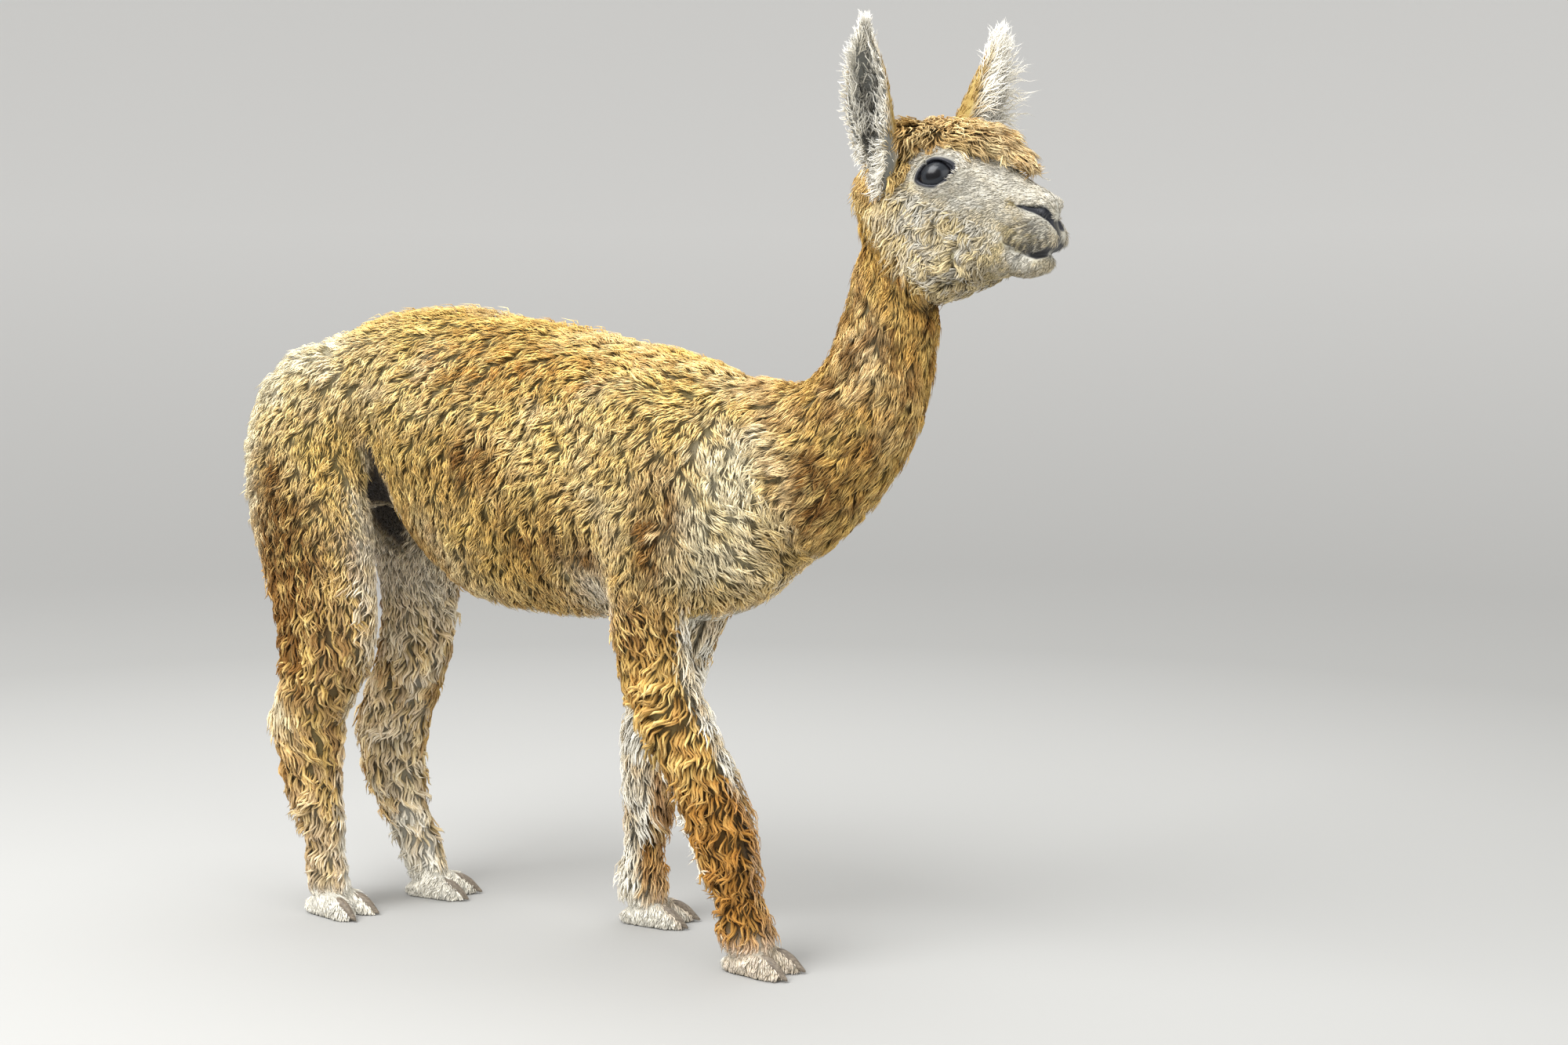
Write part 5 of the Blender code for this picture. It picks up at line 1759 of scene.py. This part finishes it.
class AlpacaSizes(bpy.types.PropertyGroup):
    skin_grain: length_property("Skin grain", 0.0085, "Spacing of the skin's points away from the head")
    fleece_length: length_property("Fleece length", 0.029, "Length of the tufts on the body")
    fleece_width: length_property("Fleece width", 0.0021, "Width of a tuft on the body")
    leg_lock_length: length_property("Leg lock length", 0.038, "Length of the locks on the lower legs")
    topknot_length: length_property("Topknot length", 0.040, "Length of the locks on the crown")
    tail_length: length_property("Tail lock length", 0.048, "Length of the locks on the tail")
    body_tufts: count_property("Body tufts", 68000, "Tufts on the trunk")
    neck_tufts: count_property("Neck tufts", 20000, "Tufts on the neck")
    foreleg_locks: count_property("Foreleg locks", 7200, "Locks on each foreleg")
    hindleg_locks: count_property("Hind leg locks", 8000, "Locks on each hind leg")
    tail_locks: count_property("Tail locks", 1500, "Locks on the tail")
    face_hairs: count_property("Face hairs", 15000, "Short tufts on the face")
    cheek_locks: count_property("Cheek locks", 5400, "Locks on cheeks and jaw")
    topknot_locks: count_property("Topknot locks", 4200, "Locks on the crown")
    ear_hairs: count_property("Ear hairs", 2700, "Hairs on each ear")


class AlpacaColours(bpy.types.PropertyGroup):
    golden: colour_property("Golden", (0.86, 0.695, 0.255), "Main colour of the fleece")
    honey: colour_property("Honey", (0.68, 0.485, 0.145), "Deeper colour that clouds the fleece")
    cream: colour_property("Cream", (0.93, 0.86, 0.62), "Lighter fleece on rump and shoulder")
    rust: colour_property("Rust", (0.50, 0.265, 0.060), "Wool on the outer sides of the legs")
    dark: colour_property("Dark", (0.230, 0.120, 0.032), "Brown patches and shadows in the fleece")
    pale: colour_property("Pale", (0.88, 0.86, 0.77), "White wool of inner legs, feet and ears")
    # Face: a dimmed white, painted shade for short face hair that shades itself little.
    face: colour_property("Face", (0.60, 0.580, 0.505), "Short white hair of the face")
    dark_skin_and_shade: colour_property("Smoke", (0.030, 0.032, 0.040), "Bare skin of lids, nose and lips")
    eye: colour_property("Eye", (0.016, 0.019, 0.024), "Iris")
    nail: colour_property("Nail", (0.12, 0.095, 0.07), "Toenails")


class AlpacaStudio(bpy.types.PropertyGroup):
    camera: bpy.props.FloatVectorProperty(
        name="Camera", description="Place of the camera", default=tuple(CAMERA_PLACE + SHIFT),
        subtype="TRANSLATION", unit="LENGTH")
    bearing: angle_property("Bearing", CAMERA_BEARING, "Turn of the view from straight ahead to the left")
    pitch: angle_property("Pitch", CAMERA_PITCH, "How far the camera looks down")
    lens: bpy.props.FloatProperty(name="Lens", description="Focal length", default=48.6, min=1,
                                  subtype="DISTANCE_CAMERA")
    key: power_property("Key light", 280, "Power of the main light")
    fill: power_property("Fill light", 60, "Power of the side light")
    sky: bpy.props.FloatProperty(name="Sky", description="Strength of the even light all round", default=0.66,
                                 min=0)


# ---------------------------------------------------------------- operators
class MakeSkin(bpy.types.Operator):
    """One skin over the whole animal, with lids, nostrils, lips, toes and ears"""

    bl_idname = "alpaca.skin"
    bl_label = "Skin"

    def execute(self, context):
        shells = [skin_of_body(alpaca_sizes().skin_grain), *(ear_shell(name) for name in EARS)]
        ends = np.cumsum([len(p) for p, _ in shells])
        points = np.vstack([p for p, _ in shells])
        faces = np.vstack([f + end - len(p) for (p, f), end in zip(shells, ends)])
        normals = vertex_normals(points, faces)
        marks = markings(points, normals)
        ear = 1.0 * (np.arange(len(points)) >= ends[0])
        # The skin's dark channel: dark bare skin and lip hair, painted shade on the sides of the face and
        # painted shadow in the flank gap.
        shaded = np.maximum(0.40 * lip_marks(points), face_shade(points) * head_part(points))
        dark_skin_and_shade = np.maximum.reduce([smoke_marks(points), shaded, 0.8 * gap_shadow(points)]) * (ear == 0)
        q = to_head(points)
        cover = np.where(head_part(points) > 0.5, topknot_part(q) + 0.35 * cheek_part(q), 1.0)
        cover = clipped(cover) * (1 - 0.8 * foot_part(points)) * (1 - 0.6 * short_part(points, normals))
        damp = clipped(dark_skin_and_shade) ** 2
        marks[ear > 0.5] = (0, 0.3, 0, 0)
        for name, start, end in zip(EARS, ends, ends[1:]):
            own = slice(start, end)
            inner = ramp(normals[own] @ turned_head(ear_frame(name)[3]), -0.1, 0.4)
            marks[own, 3] = inner
            ear[own] = 0.51 + 0.49 * inner
        skin = new_object("skin", points, faces, skin_finish())
        set_attribute(skin, "coat", marks)
        set_attribute(skin, "finish", np.stack([dark_skin_and_shade, cover * (ear < 0.5), damp, ear], 1))
        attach(skin, "root")
        flesh = [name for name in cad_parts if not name.startswith(("eye", "nail"))]
        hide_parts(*flesh)
        return {"FINISHED"}


class MakeEyes(bpy.types.Operator):
    """Two wet dark eyes with a raised cornea and a level pupil"""

    bl_idname = "alpaca.eyes"
    bl_label = "Eyes"

    def execute(self, context):
        material = eye_finish()
        for side, name in ((1, "eye_left"), (-1, "eye_right")):
            flip = np.array((1, side, 1))
            out, along, up = EYE_OUT * flip, EYE_ALONG * flip, EYE_UP * flip
            a = np.linspace(0.02, math.pi - 0.02, 72)[:, None]
            b = circle(96)[None]
            radius = EYE_RADIUS + 0.0006 * np.exp(-((a / 0.5) ** 2))
            across = radius * np.sin(a)
            wide, high = EYE_STRETCH * across * np.cos(b), across * np.sin(b)
            deep = radius * np.cos(a) + 0 * b
            grid = EYE_CENTRE * flip + wide[..., None] * along + high[..., None] * up + deep[..., None] * out
            points, faces = capped_tube(from_head(grid))
            eye = new_object(name + "_ball", points, faces, material)
            q = to_head(points) - EYE_CENTRE * flip
            front = ramp(q @ out, 0.0, 0.004)
            pupil = (np.abs((q @ along) / 0.0105) ** 2.6 + np.abs((q @ up) / 0.0062) ** 2.6) ** (1 / 2.6)
            ring = np.linalg.norm(np.stack([q @ along / EYE_STRETCH, q @ up], 1), axis=1) / 0.0178
            marks = np.stack([fall(pupil, 0.9, 1.1), fall(ring, 0.90, 1.02),
                              ramp(ring, 0.86, 0.98) * fall(ring, 1.02, 1.14), 0 * ring], 1)
            set_attribute(eye, "finish", marks * front[:, None])
            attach(eye, "root")
            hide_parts(name)
        return {"FINISHED"}


class MakeNails(bpy.types.Operator):
    """Two toenails to each foot, ridged and blunt"""

    bl_idname = "alpaca.nails"
    bl_label = "Toenails"

    def execute(self, context):
        material = nail_finish()
        for foot in LEGS:
            for side, word in ((1, "left"), (-1, "right")):
                axes, origin = toe_frame(foot, side)
                d = smooth_rows(NAIL, 7)
                a = circle(28)
                ridge = 1 + 0.02 * np.cos(9 * a)[None, :]
                wide = d[:, 3, None] * np.sign(np.cos(a)) * np.abs(np.cos(a)) ** 0.8 * ridge
                high = d[:, 4, None] * np.sin(a) * ridge
                high = np.where(high < 0, high * 0.7, high)
                grid = np.stack([d[:, 0, None] + 0.10 * high, d[:, 1, None] + wide, d[:, 2, None] + high], -1)
                grid[..., 2] = np.maximum(grid[..., 2], 0.0004)
                points, faces = capped_tube(grid @ axes.T + origin)
                name = "nail_" + foot + "_" + word
                nail = new_object(name + "_horn", points, faces, material)
                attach(nail, "root")
                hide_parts(name)
        return {"FINISHED"}


class MakeBodyCoat(bpy.types.Operator):
    """Shorn fleece on the trunk, in four pieces"""

    bl_idname = "alpaca.body_coat"
    bl_label = "Body fleece"

    def execute(self, context):
        tufts = alpaca_sizes().body_tufts
        quarters = [(fore, side) for fore in (1, -1) for side in (1, -1)]
        for seed, (fore, side) in enumerate(quarters, 100):
            name = "fleece_" + ("fore" if fore > 0 else "rear") + ("_left" if side > 0 else "_right")

            def among(p, fore=fore, side=side):
                return ((p[:, 0] + 0.085) * fore > 0) & (p[:, 1] * side > 0)

            body_coat(name, "trunk", int(tufts * (0.23 if fore > 0 else 0.27)), 1, seed, among)
        return {"FINISHED"}


class MakeNeckCoat(bpy.types.Operator):
    """Shorn fleece down the neck"""

    bl_idname = "alpaca.neck_coat"
    bl_label = "Neck fleece"

    def execute(self, context):
        body_coat("fleece_neck", "neck", alpaca_sizes().neck_tufts, 1, 110)
        return {"FINISHED"}


class MakeLegCoat(bpy.types.Operator):
    """Wavy wool on the four legs, short on the feet"""

    bl_idname = "alpaca.leg_coat"
    bl_label = "Leg wool"

    def execute(self, context):
        sizes = alpaca_sizes()
        for seed, foot in enumerate(LEGS, 120):
            count = sizes.foreleg_locks if "fore" in foot else sizes.hindleg_locks
            body_coat("wool_" + foot, foot, count, 3, seed)
        return {"FINISHED"}


class MakeTailCoat(bpy.types.Operator):
    """Longer locks that hang down the tail"""

    bl_idname = "alpaca.tail_coat"
    bl_label = "Tail locks"

    def execute(self, context):
        points, faces, _ = skin_part("tail")
        count = alpaca_sizes().tail_locks
        place, normal = strewn(points, faces, np.ones(len(faces)), count, 130)
        style = Style(count, length=alpaca_sizes().tail_length, width=0.0034, lift=8.0, wave=0.004,
                      clump=0.018, pull=0.7)
        style.shift(ramp(0.66 - place[:, 2], 0, 0.1), length=0.032)
        lie = np.array((-0.15, 0, -1.0)) + 0 * place
        dress("wool_tail", "tail", place, normal, lie, style, 4, np.zeros(count), "Fleece", 130)
        return {"FINISHED"}


class MakeFaceCoat(bpy.types.Operator):
    """Short hair of the face, longer on cheeks and jaw"""

    bl_idname = "alpaca.face_coat"
    bl_label = "Face hair"

    def execute(self, context):
        def weight(q):
            style = head_style(q)
            return 1 / (style.length * style.width) ** 0.75

        def hair(name, finish, count, rings, seed, wanted):
            place, normal, q = head_roots(weight, count, seed, wanted)
            lie = turned_head(head_lie(q))
            bare, lip = smoke_marks(place), lip_marks(place)
            # Darker hair on dark bare skin and the upper lip, and painted shade on the sides of the face.
            dark_hair_and_shade = np.maximum(np.maximum(bare, lip), 1.25 * face_shade(place))
            style = head_style(q)
            style.shift(clipped(bare * 3), length=0.0045, width=0.0008, lift=12.0)
            dress(name, "head", place, normal, lie, style, rings, dark_hair_and_shade * 0.8, finish, seed)

        def woolly(q):
            return cheek_part(q) > 0.4

        def on_knot(q):
            return topknot_part(q) >= 0.5

        sizes = alpaca_sizes()
        hair("hair_face", "Face hair", sizes.face_hairs, 1, 140, lambda q: ~woolly(q) & ~on_knot(q))
        hair("wool_cheek", "Cheek wool", sizes.cheek_locks, 3, 145, lambda q: woolly(q) & ~on_knot(q))
        return {"FINISHED"}


class MakeTopknot(bpy.types.Operator):
    """Woolly cap that falls forward to a point over the brow"""

    bl_idname = "alpaca.topknot"
    bl_label = "Topknot"

    def execute(self, context):
        count = alpaca_sizes().topknot_locks
        place, normal, q = head_roots(lambda q: 1 / knot_style(q).length, count, 150,
                                      lambda q: topknot_part(q) > 0.5)
        dress("wool_topknot", "head", place, normal, turned_head(knot_lie(q)), knot_style(q), 4,
              np.zeros(count), "Topknot wool", 150)
        return {"FINISHED"}


class MakeEarHair(bpy.types.Operator):
    """Short tan hair on the backs of the ears and long white hair within them and past their edges"""

    bl_idname = "alpaca.ear_hair"
    bl_label = "Ear hair"

    def execute(self, context):
        count = alpaca_sizes().ear_hairs
        for seed, name in enumerate(EARS, 160):
            here, normal, along, over, u, v, inside = ear_roots(name, count, seed)
            opening = ear_frame(name)[3]
            lean, less, crossed, length, clump = EAR_FRINGE[name]
            rim = ramp(np.abs(v), 0.72, 1.0)
            low = rim * fall(u, 0.05, 0.25)
            out = over * np.sign(v)[:, None]
            spread = (0.9 * (1 - less * ramp(u, 0.70, 0.92)))[:, None]
            crossing = inside * rim * crossed
            lie = along + (inside * 0.6 * v)[:, None] * over
            lie = mix(lie, along * 0.7 + mix(out, opening, lean) * spread, rim[:, None])
            lie = mix(lie, along * 1.1 - out * 0.9, crossing[:, None])
            lie = mix(lie, out - along * 0.5, low[:, None])
            style = Style(count, length=0.010, width=0.0013, lift=14.0, wave=0.0006, clump=0.008, pull=0.4,
                          stray=12.0)
            style.shift(inside, length=0.025, width=0.0020, lift=18.0, wave=0.0034, clump=0.010, pull=0.7,
                        stray=24.0, crimp=0.026)
            style.shift(rim * (0.45 + 0.55 * ramp(u, 0.1, 0.5)), length=length, lift=10.0, width=0.0015,
                        wave=0.0048, clump=clump, pull=0.93, stray=26.0, crimp=0.042)
            style.shift(crossing, length=0.034, lift=32.0, width=0.0017, wave=0.0040, clump=0.009, pull=0.8,
                        stray=22.0)
            style.shift(low, length=0.024, pull=0.7)
            style.shift(ramp(u, 0.84, 0.97), length=0.022, lift=10.0, clump=0.010, pull=0.9, wave=0.0025,
                        stray=9.0)
            marks = np.zeros((count, 4))
            white = clipped(inside + ramp(rim, 0.3, 0.9) + fall(u, 0.0, 0.15) + ramp(u, 0.75, 0.92))
            marks[:, 1] = 0.30 * (1 - white)
            marks[:, 3] = white
            # Random darker hairs inside the cup, fewer at the rim and towards the tip: partly the ear's own
            # mottled hair, partly painted shade in the cup.
            dark_hair_and_shade = 0.95 * np.random.default_rng(seed + 5).random(count) * inside
            dark_hair_and_shade *= (1 - 0.5 * rim) * (1 - 0.6 * ramp(u, 0.55, 0.90))
            facing, flow = unit(turned_head(normal)), unit(turned_head(lie))
            chart = np.stack([u, v * 0.5 + np.where(inside, 1.2, 0)], 1)
            grow("hair_ear_" + name, from_head(here), facing, flow, style, 3, chart, marks, dark_hair_and_shade,
                 wool("Ear hair"), seed)
        return {"FINISHED"}


def dished_floor(flat, reach, rise):
    """Round floor, level out to the radius flat, then rising: height = rise * (radius - flat) squared."""
    radius = np.concatenate([[flat * 0.5], np.linspace(flat, reach, 40)])[:, None]
    a = circle(96)[None]
    height = rise * np.maximum(radius - flat, 0) ** 2 + 0 * a
    grid = np.stack([radius * np.cos(a), radius * np.sin(a), height], -1)
    rows, columns = height.shape
    ring = np.arange(columns)
    middle = np.stack([ring, np.roll(ring, -1), np.full(columns, rows * columns)], 1)
    faces = np.vstack([grid_triangles(rows, columns)[:, ::-1], middle])
    return np.vstack([grid.reshape(-1, 3), [(0, 0, 0)]]), faces


class MakeStage(bpy.types.Operator):
    """Pale floor, soft lights and the camera"""

    bl_idname = "alpaca.stage"
    bl_label = "Stage"

    def execute(self, context):
        scene, studio = context.scene, context.scene.alpaca_studio
        points, faces = dished_floor(5.0, 16.0, 0.045)
        floor = new_object("studio_floor", points - SHIFT, faces, floor_finish())
        flat = Vector((math.cos(studio.bearing), math.sin(studio.bearing), 0))
        look = flat * math.cos(studio.pitch) - Vector((0, 0, math.sin(studio.pitch)))
        camera = linked("camera", bpy.data.cameras.new("camera"))
        camera.data.lens = studio.lens
        camera.data.sensor_width = 36
        camera.location = studio.camera
        camera.rotation_euler = look.to_track_quat("-Z", "Y").to_euler()
        scene.camera = camera
        middle = Vector((0, 0, 0.65))
        across = Vector((-flat.y, flat.x, 0))
        lights = [
            ("key_light", middle - flat * 1.7 + across * 2.2 + Vector((0, 0, 3.2)), studio.key),
            ("fill_light", middle - flat * 3.2 - across * 2.2 + Vector((0, 0, 1.2)), studio.fill),
            ("top_light", middle + flat * 0.8 + Vector((0, 0, 3.4)), studio.key * 0.38),
        ]
        for name, spot, power in lights:
            light = linked(name, bpy.data.lights.new(name, "AREA"))
            light.data.size, light.data.energy = 3.0, power
            light.location = spot
            light.rotation_euler = (middle - spot).to_track_quat("-Z", "Y").to_euler()
        world = bpy.data.worlds.new("studio")
        world.use_nodes = True
        background = world.node_tree.nodes["Background"]
        background.inputs["Color"].default_value = (1.0, 0.99, 0.97, 1)
        background.inputs["Strength"].default_value = studio.sky
        scene.world = world
        scene.view_settings.view_transform = "Standard"
        return {"FINISHED"}


OPERATORS = (MakeStage, MakeSkin, MakeEyes, MakeNails, MakeBodyCoat, MakeNeckCoat, MakeLegCoat, MakeTailCoat,
             MakeFaceCoat, MakeTopknot, MakeEarHair)


class AlpacaPanel(bpy.types.Panel):
    """Sizes, colours and pieces of the alpaca"""

    bl_label = "Alpaca"
    bl_idname = "VIEW3D_PT_alpaca"
    bl_space_type = "VIEW_3D"
    bl_region_type = "UI"
    bl_category = "Alpaca"

    def draw(self, context):
        for name in GROUPS:
            group, box = getattr(context.scene, name), self.layout.box()
            for field in group.__annotations__:
                box.prop(group, field)
        for operator in OPERATORS:
            self.layout.operator(operator.bl_idname)


GROUPS = {"alpaca_sizes": AlpacaSizes, "alpaca_colours": AlpacaColours, "alpaca_studio": AlpacaStudio}
CLASSES = (*GROUPS.values(), *OPERATORS, AlpacaPanel)


def register():
    for each in CLASSES:
        bpy.utils.register_class(each)
    for name, group in GROUPS.items():
        setattr(bpy.types.Scene, name, bpy.props.PointerProperty(type=group))


def unregister():
    for name in GROUPS:
        delattr(bpy.types.Scene, name)
    for each in reversed(CLASSES):
        bpy.utils.unregister_class(each)


def main():
    register()
    for operator in OPERATORS:
        getattr(bpy.ops.alpaca, operator.bl_idname.split(".")[1])()


if __name__ == "__main__":
    main()
